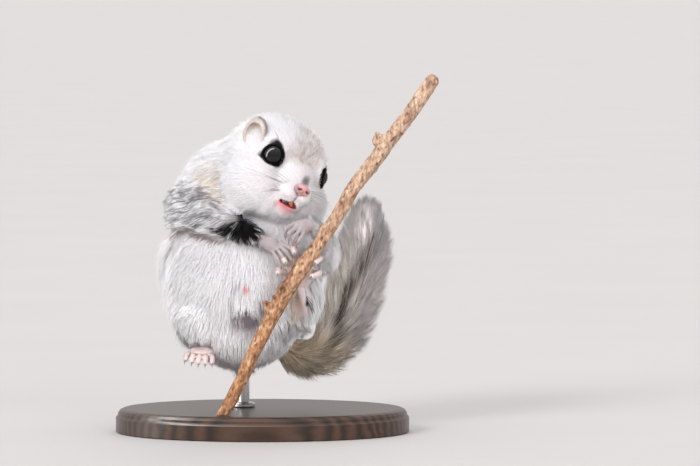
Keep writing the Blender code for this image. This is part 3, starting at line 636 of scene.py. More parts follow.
def ear_frame(side):
    """The ear's place, with x across it, y to its back and z up to its tip."""
    root, up, opens = (Vector(value) for value in EARS[side])
    up = up.normalized()
    back = -(opens - up * opens.dot(up)).normalized()
    turn = Matrix((back.cross(up), back, up)).transposed().to_4x4()
    return IN_HEAD @ Matrix.Translation(root) @ turn


def ear_cup(side):
    """One ear, as a closed mesh in the model's directions."""
    form = bmesh.new()
    bmesh.ops.create_icosphere(form, subdivisions=5, radius=1.0, matrix=Matrix.Diagonal((*EAR_RADII, 1)))
    for vert in form.verts:
        vert.co.y += 0.014 * (vert.co.z + 4) ** 2 * (vert.co.z > -4) - 0.2
        vert.co.z += EAR_RISE
    everything = [*form.verts, *form.edges, *form.faces]
    bmesh.ops.bisect_plane(
        form, geom=everything, plane_co=(0, -0.7, 0), plane_no=(0, -1, 0), clear_outer=True
    )
    bmesh.ops.recalc_face_normals(form, faces=form.faces)
    bmesh.ops.solidify(form, geom=list(form.faces), thickness=EAR_WALL)
    bmesh.ops.transform(form, matrix=Matrix.Scale(MM, 4) @ ear_frame(side), verts=form.verts)
    return fused(as_mesh(form, "ear"), EAR_CELL, 2)


ears = [(ear_cup(side), side) for side in (1, -1)]
print("each ear has", len(ears[0][0].vertices), "points")

# %% [markdown]
# ## One skin
# Ears, hands and feet are joined to the body, so that no seam shows. What is known at each point,
# such as the lie and length of its hair, is then read again from the nearest point of the part it
# came from. The body is thinned first, because its own hair hides it.

# %% Comb the paws and ears
HAND_HAIR, FOOT_HAIR = 1.25, 2.1
EAR_HAIR, INNER_EAR_HAIR = 2.6, 1.8
fields = [(body_points, body_lie, np.stack((body_length, body_loft, body_locks), 1), body_group)]


def digit_lie(points, palm, digits):
    """The way towards the fingertips at each point, and how near the tip it is."""
    best = np.full(len(points), 1e9)
    way = np.zeros_like(points)
    near_tip = np.zeros(len(points))
    middle = np.array(palm[0][0])
    runs = [(middle, np.array(root), 0.0, 0.0) for root, _, _ in digits]
    for root, knuckle, tip in digits:
        runs += [(np.array(root), np.array(knuckle), 0.0, 0.5), (np.array(knuckle), np.array(tip), 0.5, 1.0)]
    for start, end, near, far in runs:
        along = end - start
        share = np.clip((points - start) @ along / (along @ along), 0, 1)
        gap = np.linalg.norm(points - start - share[:, None] * along, axis=1)
        closer = gap < best
        best[closer] = gap[closer]
        way[closer] = along / np.linalg.norm(along)
        near_tip[closer] = (near + (far - near) * share)[closer]
    return way, near_tip


for mesh, group, palm, digits in paws:
    points = places_of(mesh)
    way, near_tip = digit_lie(points, palm, digits)
    way = smoothed(way, edges_of(mesh), 6)
    hair = (HAND_HAIR if group == HAND else FOOT_HAIR) * (1 - 0.45 * near_tip)
    values = np.stack((hair, hair * 0.14, np.zeros(len(points))), 1)
    fields.append((points, laid(way, normals_of(mesh)), values, np.full(len(points), group)))
for mesh, side in ears:
    points, normals = places_of(mesh), normals_of(mesh)
    turn = np.array(ear_frame(side).to_3x3())
    inner = normals @ turn[:, 1] < -0.15
    hair = np.where(inner, INNER_EAR_HAIR, EAR_HAIR)
    values = np.stack((hair, hair * 0.34, np.zeros(len(points))), 1)
    way = np.tile(turn[:, 2], (len(points), 1)) + normals * 0.15
    fields.append((points, laid(way, normals), values, np.where(inner, INNER_EAR, EAR)))

# %% Join them to the body
BODY_SHARE = 0.36


def joined(mesh, other):
    """One closed mesh from two that overlap."""
    tool = placed("tool", other)
    made = shaped(mesh, ("BOOLEAN", {"object": tool, "operation": "UNION", "solver": "MANIFOLD"}))
    bpy.data.objects.remove(tool)
    return made


skin_mesh = shaped(body, ("DECIMATE", {"ratio": BODY_SHARE}))
for mesh in [row[0] for row in paws] + [row[0] for row in ears]:
    before = len(skin_mesh.vertices)
    skin_mesh = joined(skin_mesh, mesh)
    print("joined", mesh.name, "and the skin grew by", len(skin_mesh.vertices) - before, "points")
skin_mesh.shade_smooth()
skin_points = places_of(skin_mesh)
skin_normals = normals_of(skin_mesh)
field_points, field_lie, field_values, field_group = (np.concatenate(row) for row in zip(*fields))


def nearest_of(points, others):
    """For each point, the number of the nearest of some other points."""
    tree = KDTree(len(others))
    for number, other in enumerate(others.tolist()):
        tree.insert(other, number)
    tree.balance()
    return np.array([tree.find(point)[1] for point in points.tolist()])


source = nearest_of(skin_points, field_points)
skin_lie = laid(smoothed(field_lie[source], edges_of(skin_mesh), 1), skin_normals)
skin_values = smoothed(field_values[source], edges_of(skin_mesh), 1)
skin_group = field_group[source]
print("the one skin has", len(skin_points), "points")

# %% [markdown]
# ## Colours of the coat
# The winter coat is white with grey roots that show where it parts. Each marking is a soft shape
# in space: a line of balls with a blur. Skin and hair both ask the same function for their
# colour, so a mark goes through the coat down to the skin. A marking may keep to some groups, and
# where it is grizzled, only some of its hairs are dark to the tip.

# %% The palette, as a screen shows it


def tone(red, green, blue):
    """A colour given as a screen shows it, in the even numbers that Blender works with."""
    return np.array([(value / 255) ** 2.2 for value in (red, green, blue)])


SNOW = tone(250, 249, 251)
SNOW_ROOT = tone(236, 232, 236)
SMOKE = tone(122, 116, 122)
SOOT = tone(34, 31, 34)
BLACK = tone(12, 10, 12)
COAL = tone(52, 48, 50)
TAUPE = tone(150, 136, 130)
UMBER = tone(132, 114, 112)
SILVER = tone(196, 190, 192)
BEIGE = tone(222, 204, 188)
CREAM = tone(240, 228, 214)
ROSE = tone(232, 176, 172)
PETAL = tone(234, 150, 156)
BLUSH = tone(240, 212, 206)
MAUVE = tone(172, 158, 160)
ASH = tone(216, 208, 210)
# The dark red of the open mouth: the red of its inside, darkened with painted shade of the hollow.
MOUTH_RED_AND_SHADE = tone(112, 22, 26)
STONE = tone(150, 140, 134)
SHELL = tone(236, 218, 214)
LIP = tone(240, 190, 194)
LIP_EDGE = tone(200, 84, 96)

# %% The markings: groups, line of balls, blur, root colour, tip colour, strength, grizzle
BODY_GROUPS = (HEAD, TRUNK, RIGHT_ARM, LEFT_ARM, RIGHT_LEG, LEFT_LEG, TAIL)
ARM = (RIGHT_ARM,)
BELLY = (TRUNK,)
# Black wedges on the forearm by the wrist: black fur, and painted shade under the chin.
UPPER_FUR_AND_SHADE_WEDGE = (
    ((-19, -24, 100), 0.5), ((-9.7, -29, 95.3), 1.4), ((-4, -30, 92), 3.0), ((2.5, -33, 87), 3.2),
)
LOWER_FUR_AND_SHADE_WEDGE = (((-16, -30, 88), 1.0), ((-8, -32, 87.5), 3.4), ((0, -33, 85.5), 3.8))
# A brownish line along the underside of the forearm: darker hair, and painted shade of the crease under the
# arm.
UNDER_ARM_HAIR_AND_SHADE_LINE = (((-34, -15, 86.5), 1.2), ((-24, -22, 85), 1.4), ((-10, -31, 81.5), 1.1))
PINK_SPOT = (((-6.3, -34, 63.6), 1.3), ((-6.3, -28, 63.6), 1.3))
GREY_ARC = (((-10.8, -28, 52.0), 1.0), ((-6.6, -28, 54.0), 1.3), ((-2.4, -28, 51.8), 1.0))
GREY_PATCH = (((-8.6, -28, 49.6), 2.8), ((-4.4, -28, 48.8), 2.8))
MARKS = (
    (BELLY, (((-10, 44, 100), 30), ((-10, 50, 50), 30)), 14, TAUPE, SILVER, 0.9, 0.5),
    ((TRUNK, RIGHT_ARM), (((-19, -8, 108), 4), ((-15.5, -21, 102), 3.5)), 4.5, BEIGE, CREAM, 0.9, 0.6),
    (ARM, (((-30, -18, 99), 8), ((-20, -26, 91), 7)), 8, SMOKE, SMOKE, 0.8, 1.25),
    # Black fur by the wrist, with painted shade under the chin.
    (ARM, UPPER_FUR_AND_SHADE_WEDGE, 1.6, BLACK, BLACK, 1.0, 0.42),
    (ARM, LOWER_FUR_AND_SHADE_WEDGE, 1.8, BLACK, BLACK, 1.0, 0.42),
    # The line under the forearm: darker hair and painted shade of the crease.
    (ARM, UNDER_ARM_HAIR_AND_SHADE_LINE, 1.3, UMBER, TAUPE, 0.9, 0.1),
    (BELLY, (((-2, -30, 78.5), 0.8), ((5, -33, 78), 0.8)), 1.0, ROSE, ROSE, 0.6, 0.0),
    (BELLY, PINK_SPOT, 1.0, PETAL, PETAL, 1.0, 0.0),
    (BELLY, (((-11, -30, 66), 0.4), ((-4, -31, 67), 0.4)), 1.4, SMOKE, SMOKE, 0.7, 0.9),
    (BELLY, (((-12.5, -29, 62), 0.3), ((-11.4, -28, 55), 0.5)), 1.3, SMOKE, SMOKE, 0.7, 0.8),
    (BELLY, (((-1, -27, 58), 0.3), ((0.4, -27, 54), 0.6)), 1.1, SOOT, SMOKE, 0.9, 0.7),
    (BELLY, GREY_ARC, 1.4, SOOT, SOOT, 1.0, 0.3),
    (BELLY, GREY_PATCH, 2.2, SMOKE, SMOKE, 0.95, 0.4),
    ((RIGHT_LEG, TRUNK), (((-35, -12, 47), 1.5), ((-29, -18, 43), 2.2), ((-24, -21, 41), 1.8)), 2.8,
     SOOT, COAL, 0.9, 0.9),
    ((LEFT_LEG, TRUNK), (((5, -23, 43), 4), ((12, -18, 36), 5)), 5, SMOKE, SILVER, 0.8, 0.9),
    ((LEFT_LEG, TRUNK), (((14.4, -27, 64), 1.8), ((13.8, -25, 51), 2.6)), 2.2, BEIGE, CREAM, 1.0, 0.2),
    ((LEFT_LEG, TRUNK), (((18.7, -28, 65.5), 0.5), ((19.2, -26, 56), 0.8)), 1.0, SOOT, SOOT, 1.0, 0.4),
    ((LEFT_LEG, TRUNK, TAIL), (((9.6, 10, 37.5), 1.0), ((9.2, 8, 31.5), 1.2)), 2.0, SOOT, SMOKE, 0.8, 0.4),
    ((EAR, INNER_EAR), (((0.6, -16, 131), 1.2), ((1.8, -17, 126), 1.6)), 1.2, SMOKE, SMOKE, 0.9, 0.5),
)
WHOLE_GROUPS = (
    ((HAND,), MAUVE, ASH), ((FOOT,), BLUSH, SNOW), ((EAR,), TAUPE, SILVER), ((INNER_EAR,), SHELL, CREAM),
    ((TAIL,), TAUPE, BEIGE),
)

# %% Markings of the head, in its own directions
LOWER_LIP = (
    ((-4.3, -19.6, -13.0), 0.9), ((-2.4, -20.8, -13.6), 1.2),
    ((-0.4, -21.2, -13.8), 1.2), ((1.3, -21.0, -13.6), 0.9),
)
LIP_RIM = (
    ((-4.2, -19.6, -12.3), 0.4), ((-2.4, -20.8, -12.8), 0.5),
    ((-0.4, -21.2, -13.0), 0.5), ((1.4, -21.0, -12.7), 0.4),
)
# A dark line down the middle of the upper lip: painted shade of the cleft there.
PHILTRUM_SHADE_LINE = (((0.0, -23.8, -6.6), 0.12), ((-0.3, -23.2, -8.4), 0.14), ((-0.5, -22.6, -10.2), 0.2))
HEAD_MARKS = (
    ((((5, -11, 15.5), 4.5), ((0, -17, 8.5), 3.0)), 5.0, BEIGE, CREAM, 0.75, 0.9),
    ((((4, -9, 16.5), 4.0), ((0, -16, 9.5), 2.5)), 6.0, STONE, STONE, 0.7, 1.3),
    ((((0, 6, 24), 8), ((0, 24, 12), 12)), 8.0, TAUPE, SILVER, 0.5, 0.4),
    ((((0.2, -24.0, -1.6), 0.8), ((2.2, -22.4, -0.2), 1.6)), 1.2, SMOKE, SMOKE, 0.9, 0.3),
    # The cleft of the upper lip, painted as a dark line of shade.
    (PHILTRUM_SHADE_LINE, 0.5, UMBER, UMBER, 0.8, 0.0),
    (LOWER_LIP, 1.8, LIP, LIP, 0.9, 0.0),
    (LIP_RIM, 0.8, LIP_EDGE, LIP_EDGE, 0.9, 0.0),
    # The open mouth painted dark red: its own red, and painted shade of the hollow behind the lips.
    (mouth_arc(10, 1.3), 0.45, MOUTH_RED_AND_SHADE, MOUTH_RED_AND_SHADE, 1.0, 0.0),
)
EYE_PATCH = (
    (-142, 5.9), (-110, 5.3), (-73, 5.1), (-45, 5.4), (-25.5, 6.3), (0, 5.1), (36, 4.9),
    (60, 5.8), (82, 6.9), (105, 6.1), (122, 5.5), (150, 5.0), (180, 5.1),
)
LEFT_INNER_SHARE = 0.82


def eye_axes(side):
    """An eye's middle and its three directions: outwards round the head, up, and out of the head."""
    turn = np.array(HEAD_TURN.to_3x3())
    out = turn @ np.array(mirrored(EYE_OUT, side))
    up = turn @ np.array((0.0, 0.0, 1.0))
    up = up - out * (up @ out)
    up = up / np.linalg.norm(up)
    return np.array(IN_HEAD @ mirrored(EYE_MIDDLE, side)), np.cross(up, out) * side, up, out


def eye_places(points, side):
    """How far points lie from an eye's axis, their angle round it, and their height along it."""
    middle, outward, up, out = eye_axes(side)
    flat_x, flat_y = (points - middle) @ outward, (points - middle) @ up
    return np.hypot(flat_x, flat_y), np.degrees(np.arctan2(flat_y, flat_x)), (points - middle) @ out


def eye_patch_cover(points):
    """1 on the bare black rims of the eyes, which reach out in three corners."""
    cover = np.zeros(len(points))
    angles, radii = zip(*EYE_PATCH)
    for side in (1, -1):
        gap, angle, height = eye_places(points, side)
        edge = np.interp(angle, angles, radii, period=360)
        edge = np.where((side > 0) & (np.abs(angle) > 85), edge * LEFT_INNER_SHARE, edge)
        cover = np.maximum(cover, np.clip((edge - gap) / 0.7, 0, 1) * (height > -3))
    return cover


# %% One function that colours skin and hair


ROOT_REACH = 0.35


def blended(colours, other, share):
    return colours + (other - colours) * share[:, None]


def coat_colours(points, group, luck=None):
    """Colours at root, middle and tip of hair at each point. Luck makes single hairs differ."""
    luck = np.full(len(points), 0.5) if luck is None else luck
    root = np.tile(SNOW_ROOT, (len(points), 1))
    tip = np.tile(SNOW, (len(points), 1))
    for groups, dark, light in WHOLE_GROUPS:
        cover = np.isin(group, groups) * 1.0
        root, tip = blended(root, dark, cover), blended(tip, light, cover)
    own = in_head(points)
    marks = [(points, *row) for row in MARKS] + [(own, (HEAD,), *row) for row in HEAD_MARKS]
    for places, groups, line, blur, dark, light, strength, grizzle in marks:
        cover = ball_line_cover(places, line, blur) * strength * np.isin(group, groups)
        marked = luck < 1 - 0.55 * grizzle
        root = blended(root, dark, cover * np.where(marked, 1.0, 0.5))
        tip = blended(tip, light, cover * marked)
    rim = eye_patch_cover(points) * (group == HEAD)
    root, tip = blended(root, BLACK, rim), blended(tip, BLACK, rim)
    return root, tip + (root - tip) * ROOT_REACH, tip


print("the coat has", len(MARKS) + len(HEAD_MARKS), "markings and two eye patches")

# %% [markdown]
# ## An unwrap of the skin for baking
# If the colours are baked later, each tuft needs its own small patch on a flat map, at the place
# where its root grows. A light copy of the skin is unwrapped for that, which is far quicker than
# unwrapping the whole skin, and each root reads its place on the nearest face.

# %% Unwrap a light copy
CHART_SHARE = 0.06
PATCH = 0.003
BAKE_MAP = "OFBake"
chart = shaped(skin_mesh, ("DECIMATE", {"ratio": CHART_SHARE}))
chart_piece = placed("chart", chart)
bpy.context.view_layer.objects.active = chart_piece
bpy.ops.object.mode_set(mode="EDIT")
bpy.ops.mesh.select_all(action="SELECT")
bpy.ops.uv.smart_project(angle_limit=math.radians(66), island_margin=0.004)
bpy.ops.object.mode_set(mode="OBJECT")
chart_points = places_of(chart)
chart_faces = triangles_of(chart)
chart_loops = np.empty(len(chart_faces) * 3, np.int32)
chart.loop_triangles.foreach_get("loops", chart_loops)
chart_uv = np.empty(len(chart.loops) * 2, np.float32)
chart.uv_layers.active.uv.foreach_get("vector", chart_uv)
chart_uv = chart_uv.reshape(-1, 2)[chart_loops.reshape(-1, 3)].astype(float)
bpy.data.objects.remove(chart_piece)
chart_tree = BVHTree.FromPolygons(chart_points.tolist(), chart_faces.tolist())
print("the chart has", len(chart_faces), "faces")


def chart_places(points):
    """Each point's place on the unwrapped skin."""
    found = [chart_tree.find_nearest(point) for point in points.tolist()]
    face = np.array([hit[2] for hit in found])
    spot = np.array([hit[0] for hit in found])
    a, b, c = (chart_points[chart_faces[face, k]] for k in range(3))
    whole = np.cross(b - a, c - a)
    size = np.maximum((whole**2).sum(1), 1e-12)
    share_b = (np.cross(spot - a, c - a) * whole).sum(1) / size
    share_c = (np.cross(b - a, spot - a) * whole).sum(1) / size
    shares = np.clip(np.stack((1 - share_b - share_c, share_b, share_c), 1), 0, 1)
    return (chart_uv[face] * shares[:, :, None]).sum(1)


# %% [markdown]
# ## Tufts
# One tuft is a thin tapered blade with three sides, bent over its length, and closed at its root.
# They are far too many to model one by one, so the points of all of them are worked out together
# in arrays, and made into one mesh. A tuft takes one colour for each ring along it, and its normals
# turn partly to those of the skin, so that light falls softly on the coat as a whole.

# %% Build a mesh of tufts
CORNERS = 3
FLATNESS = 0.6


def tuft_pattern(rings):
    """The faces of one tuft, as numbers of its own points."""
    tip = rings * CORNERS
    faces = [(0, 2, 1)]
    for ring in range(rings):
        for corner in range(CORNERS):
            near = ring * CORNERS + corner
            far = ring * CORNERS + (corner + 1) % CORNERS
            ahead = (tip,) if ring == rings - 1 else (far + CORNERS, near + CORNERS)
            faces.append((near, far, *ahead))
    return faces


def tuft_mesh(name, root, knee, tip, across, width, tones, facing):
    """One mesh of tufts from root past knee to tip, with a tone for each ring.

    The longer its facing, from 0 to 1, the more a tuft is lit as if it faced that way.
    """
    count, rings = len(root), len(tones) - 1
    own_share = 1 - np.linalg.norm(facing, axis=1, keepdims=True)
    points, colours, spots, normals = [], [], [], []
    for ring, ring_tone in enumerate(tones):
        t = ring / rings
        middle = (1 - t) ** 2 * root + 2 * t * (1 - t) * knee + t * t * tip
        ahead = unit((1 - t) * (knee - root) + t * (tip - knee))
        side = unit(across - ahead * (across * ahead).sum(1, keepdims=True))
        rise = np.cross(ahead, side)
        girth = width[:, None] / 2 * (0.8 + 0.8 * t * (1 - t)) * (1 - 0.35 * t)
        for corner in range(CORNERS if ring < rings else 1):
            angle = math.tau * corner / CORNERS + math.pi / 6
            off = side * math.cos(angle) * girth + rise * math.sin(angle) * girth * FLATNESS
            points.append(middle + off if ring < rings else middle)
            normals.append(unit(facing + unit(off) * own_share))
            colours.append(ring_tone)
            spots.append((PATCH * corner / CORNERS, PATCH * t))
    points = np.stack(points, 1)
    per = points.shape[1]
    faces = tuft_pattern(rings)
    corner_list = np.concatenate([np.array(face) for face in faces])
    sizes = np.array([len(face) for face in faces])
    loops = (corner_list[None] + np.arange(count)[:, None] * per).ravel()
    starts = np.concatenate(([0], np.cumsum(np.tile(sizes, count))[:-1]))
    mesh = bpy.data.meshes.new(name)
    mesh.vertices.add(count * per)
    mesh.vertices.foreach_set("co", (points * MM).astype(np.float32).ravel())
    mesh.loops.add(len(loops))
    mesh.loops.foreach_set("vertex_index", loops.astype(np.int32))
    mesh.polygons.add(len(starts))
    mesh.polygons.foreach_set("loop_start", starts.astype(np.int32))
    mesh.polygons.foreach_set("use_smooth", np.ones(len(starts), bool))
    mesh.update(calc_edges=True)
    full = np.ones((count, per, 4), np.float32)
    full[:, :, :3] = np.stack(colours, 1)
    layer = mesh.attributes.new("coat_colour", "FLOAT_COLOR", "POINT")
    layer.data.foreach_set("color", full.ravel())
    bend = mesh.attributes.new("custom_normal", "FLOAT_VECTOR", "POINT")
    bend.data.foreach_set("vector", np.stack(normals, 1).astype(np.float32).ravel())
    patch = chart_places(root)[:, None, :] * (1 - PATCH) + np.array(spots)[None]
    uv = mesh.uv_layers.new(name=BAKE_MAP)
    uv.uv.foreach_set("vector", patch.reshape(-1, 2)[loops].astype(np.float32).ravel())
    return mesh


# %% [markdown]
# ## The finish of hair and skin
# Hair is dull along its length and softly bright at its edge, which the sheen gives. Its colour
# comes from the tufts themselves. The skin under it takes the same colours, a little pinker,
# with a fine leathery grain.

# %% Helpers for materials


def new_material(name, **sockets):
    """A Principled material whose even values are set on the shader's own sockets."""
    made = bpy.data.materials.new(name)
    made.use_nodes = True
    shader = made.node_tree.nodes["Principled BSDF"]
    for socket, value in sockets.items():
        shader.inputs[socket.replace("_", " ")].default_value = value
    return made, made.node_tree, shader


def node(tree, kind, **values):
    made = tree.nodes.new(kind)
    for name, value in values.items():
        if name in made.inputs:
            made.inputs[name].default_value = value
        else:
            setattr(made, name, value)
    return made


def wire(tree, giver, output, taker, taken_as):
    tree.links.new(giver.outputs[output], taker.inputs[taken_as])


def two_tone_ramp(tree, low, high, start=0.0, end=1.0):
    """A ramp between two colours, which begins and ends at those values."""
    made = node(tree, "ShaderNodeValToRGB")
    for element, colour, position in zip(made.color_ramp.elements, (low, high), (start, end)):
        element.color = (*colour, 1)
        element.position = position
    return made


def hair_material(name):
    made, tree, shader = new_material(
        name, Roughness=0.7, Specular_IOR_Level=0.1, Sheen_Weight=0.1, Sheen_Roughness=0.4
    )
    colour = node(tree, "ShaderNodeAttribute", attribute_name="coat_colour")
    wire(tree, colour, "Color", shader, "Base Color")
    return made


def grained(name, scale, strength, depth, **sockets):
    """A material that takes its colour from the mesh and its fine bumps from noise."""
    made, tree, shader = new_material(name, **sockets)
    colour = node(tree, "ShaderNodeAttribute", attribute_name="coat_colour")
    place = node(tree, "ShaderNodeTexCoord")
    grain = node(tree, "ShaderNodeTexNoise", Scale=scale, Detail=4.0, Roughness=0.6)
    bump = node(tree, "ShaderNodeBump", Strength=strength, Distance=depth)
    wire(tree, place, "Object", grain, "Vector")
    wire(tree, grain, "Fac", bump, "Height")
    wire(tree, colour, "Color", shader, "Base Color")
    wire(tree, bump, "Normal", shader, "Normal")
    return made


coat_finish = hair_material("coat_hair")
tail_finish = hair_material("tail_hair")
skin_finish = grained("skin", 1400.0, 0.5, 0.0003, Roughness=0.5, Specular_IOR_Level=0.3)
nose_finish = grained("nose_leather", 2600.0, 0.5, 0.00025, Roughness=0.36, Specular_IOR_Level=0.5)
wet_finish = grained("wet_mouth", 1800.0, 0.25, 0.0002, Roughness=0.22, Specular_IOR_Level=0.5)
enamel_finish = grained("enamel", 900.0, 0.06, 0.0002, Roughness=0.2, Specular_IOR_Level=0.5)
horn_finish = grained("horn", 1500.0, 0.2, 0.0002, Roughness=0.35, Specular_IOR_Level=0.5)
lid_finish = grained("lid_skin", 1800.0, 0.5, 0.0003, Roughness=0.8, Specular_IOR_Level=0.1)

# %% Paint and place the skin


def paint(mesh, colours):
    """Gives a mesh its colours, one for each point or one for all."""
    layer = mesh.attributes.new("coat_colour", "FLOAT_COLOR", "POINT")
    full = np.ones((len(mesh.vertices), 4), np.float32)
    full[:, :3] = colours
    layer.data.foreach_set("color", full.ravel())


def skin_tones(points, group):
    """The coat's root colour, a little rosier where it is pale."""
    root, _, _ = coat_colours(points, group)
    pale = np.clip(root.mean(1) / 0.6, 0, 1) * np.isin(group, BODY_GROUPS)
    return blended(root, ROSE, pale * 0.22) * 0.9


paint(skin_mesh, skin_tones(skin_points, skin_group))
SKIN_NODES = FLESH + [
    "tail_root", "tail_brush", "ear_left", "ear_right", "hand_left", "hand_right", "foot_left", "foot_right",
]
skin = as_piece("skin", skin_mesh, skin_finish, SKIN_NODES)

# %% [markdown]
# ## Grow the coat
# Roots are spread evenly over the skin's faces, more of them where the hair is fine. Each tuft
# takes the lie, length and depth of its place, with some chance, and neighbours lean together
# into small locks, as hair does. Tufts that would cross an eye, the nose, a hand or the twig go.

# %% Spread the roots
skin_faces = triangles_of(skin_mesh)
DENSITY = 37.0
FINE_FROM = 2.2
BALD_FROM = 0.35
PAW_SHARE = 0.45
EAR_SHARE = 1.7


def spread(seed):
    """Roots on the skin: their places, normals, lies, values and groups."""
    draw = np.random.RandomState(seed)
    a, b, c = (skin_points[skin_faces[:, k]] for k in range(3))
    area = np.linalg.norm(np.cross(b - a, c - a), axis=1) / 2
    length = skin_values[skin_faces, 0].mean(1)
    wanted = area * DENSITY / (length + FINE_FROM)
    group_of_face = skin_group[skin_faces[:, 0]]
    wanted[np.isin(group_of_face, (HAND, FOOT))] *= PAW_SHARE
    wanted[np.isin(group_of_face, (EAR, INNER_EAR))] *= EAR_SHARE
    bald = ball_line_cover(in_head(skin_points), mouth_arc(10, 1.5), 0.5)[skin_faces].mean(1)
    wanted[(bald > BALD_FROM) | (group_of_face == TAIL)] = 0.0
    ends = np.cumsum(wanted)
    picks = np.arange(int(ends[-1])) + draw.uniform(0, 1, int(ends[-1]))
    face = np.minimum(np.searchsorted(ends, picks), len(ends) - 1)
    u, v = draw.uniform(size=(2, len(face)))
    flip = u + v > 1
    u[flip], v[flip] = 1 - u[flip], 1 - v[flip]
    shares = np.stack((1 - u - v, u, v), 1)
    corners = skin_faces[face]

    def blend(values):
        return np.einsum("nk,nk...->n...", shares, values[corners])

    return (
        blend(skin_points), unit(blend(skin_normals)), unit(blend(skin_lie)),
        blend(skin_values), group_of_face[face],
    )


# %% Lean neighbours together


def locked(root, tip, chosen_share, hold, seed):
    """Tips drawn towards the tip of the nearest lock's middle hair."""
    draw = np.random.RandomState(seed)
    chosen = draw.permutation(len(root))[: max(1, int(len(root) * chosen_share))]
    leader = chosen[nearest_of(root, root[chosen])]
    goal = tip[leader] + (root - root[leader]) * 0.25
    return tip + (goal - tip) * hold[:, None], leader


# %% Keep clear of what isn't furred
HARD = ("twig", "nose", "eye_left", "eye_right")
GRIPPING = ("hand_left", "hand_right", "foot_left", "foot_right")
EYE_OPENING = 3.7
FARTHEST = 9


def inside_of(tree, points, margin):
    """Which points lie inside the nearest face of some solids, or less than the margin outside it."""
    inside = np.zeros(len(points), bool)
    for index, point in enumerate(points.tolist()):
        spot, normal, _, gap = tree.find_nearest(point)
        if gap < FARTHEST and (Vector(point) - spot).dot(normal) < margin:
            inside[index] = True
    return inside


def free_hairs(root, tip, group):
    """Which hairs cross no hand, foot, twig, nose or eye."""
    middle = (root + tip) / 2
    hard_tree, _ = tree_of(HARD)
    paw_tree, _ = tree_of(GRIPPING)
    free = ~inside_of(hard_tree, tip, 0.1) & ~inside_of(hard_tree, middle, 0.05)
    furry = np.isin(group, BODY_GROUPS)
    free[furry] &= ~inside_of(paw_tree, tip[furry], 0.1)
    for side in (1, -1):
        for spots, reach in ((root, EYE_OPENING + 0.3), (middle, EYE_OPENING), (tip, EYE_OPENING)):
            gap, _, height = eye_places(spots, side)
            free &= ~((gap < reach) & (height > 0) & (height < 12))
    return free


# %% Grow all the tufts
LOCK_SHARE = 0.05
KNEE_ALONG, KNEE_RISE = 0.45, 0.55
SHORTENING = 0.5
STRAYS = {HEAD: (0.16, 2.2)}
OTHER_STRAYS = (0.10, 1.6)
SOFTNESS = {
    HEAD: 0.5, TRUNK: 0.6, RIGHT_ARM: 0.3, LEFT_ARM: 0.4, RIGHT_LEG: 0.45, LEFT_LEG: 0.4,
    TAIL: 0.3, HAND: 0.5, FOOT: 0.5, EAR: 0.4, INNER_EAR: 0.4,
}
SHORT_PLACES = ((PINK_SPOT, 2.4), (GREY_ARC, 2.0), (GREY_PATCH, 2.5))
root, normal, lie, values, group = spread(3)
length, loft, locks = values.T
print(len(root), "roots")
draw = np.random.RandomState(8)
number = len(root)
across = unit(np.cross(lie, normal))
sway = (0.05 + 0.25 * locks) * waves(root, 5.0, 21) + 0.06 * draw.normal(size=number)
lean = unit(lie + across * sway[:, None])
length = length * draw.uniform(0.75, 1.2, number)
for line, blur in SHORT_PLACES:
    length *= 1 - SHORTENING * ball_line_cover(root, line, blur) * (group == TRUNK)
stand_up = np.where(group == HEAD, draw.uniform(0.7, 1.2, number), draw.uniform(0.55, 1.05, number))
stray_share, stray_rise = np.array([STRAYS.get(key, OTHER_STRAYS) for key in range(len(SOFTNESS))])[group].T
stray = (draw.uniform(size=number) < stray_share) & (length > 1.9)
stand_up = np.where(stray, stand_up * stray_rise, stand_up)
rise = np.clip(loft * stand_up, 0.12, length * 0.8)
run = np.sqrt(np.maximum(length**2 - rise**2, 0.01))
tip = root + lean * run[:, None] + normal * rise[:, None]
hold = locks * np.clip((length - 1.5) / 4.0, 0.0, 1.0)
tip, leader = locked(root, tip, LOCK_SHARE, hold, 5)
knee = root + (tip - root) * KNEE_ALONG + normal * (rise * KNEE_RISE)[:, None]
free = free_hairs(root, tip, group)
print(int(free.sum()), "tufts stay")

# %% Colour them and make the meshes
WIDTH_FROM, WIDTH_BY_LENGTH = 0.085, 0.028
FINE_SHARE, OTHER_SHARE = 0.74, 0.92
luck = 0.4 * draw.uniform(size=number) + 0.6 * draw.uniform(size=number)[leader]
single = 0.03 + 0.10 * locks + 0.03 * (group == HEAD)
shade = 1 + 0.03 * waves(root, 9.0, 31) + single * draw.normal(size=number)
shade *= 1 + 0.08 * draw.normal(size=number)[leader] * locks
coat_tones = [np.clip(colour * shade[:, None], 0, 0.96) for colour in coat_colours(root, group, luck)]
width = (WIDTH_FROM + WIDTH_BY_LENGTH * length) * np.where(group == TRUNK, FINE_SHARE, OTHER_SHARE)
softness = np.array([SOFTNESS[key] for key in range(len(SOFTNESS))])[group]
facing = normal * softness[:, None]
PIECES = (
    ("coat_head", (HEAD, EAR, INNER_EAR)), ("coat_trunk", (TRUNK,)), ("coat_arms", (RIGHT_ARM, LEFT_ARM)),
    ("coat_legs", (RIGHT_LEG, LEFT_LEG)), ("coat_paws", (HAND, FOOT)),
)
MOST_TUFTS = 19000
for name, groups in PIECES:
    chosen = np.nonzero(free & np.isin(group, groups))[0]
    chosen = chosen[np.argsort(root[chosen, 2], kind="stable")]
    parts = max(1, math.ceil(len(chosen) / MOST_TUFTS))
    for part, some in enumerate(np.array_split(chosen, parts)):
        tones = [colour[some] for colour in coat_tones]
        title = f"{name}_{part + 1}"
        mesh = tuft_mesh(
            title, root[some], knee[some], tip[some], across[some], width[some], tones, facing[some]
        )
        as_piece(title, mesh, coat_finish)

# %% [markdown]
# ## The tail's brush
# The tail is as flat as a feather. The hair leaves the bone all round, then bends to both sides and
# towards the tip. On the side next to the body it is cream, and on the outer side mauve-grey with
# light tips. A dark band runs up between them. Colours are chosen by place, at each ring of a hair.

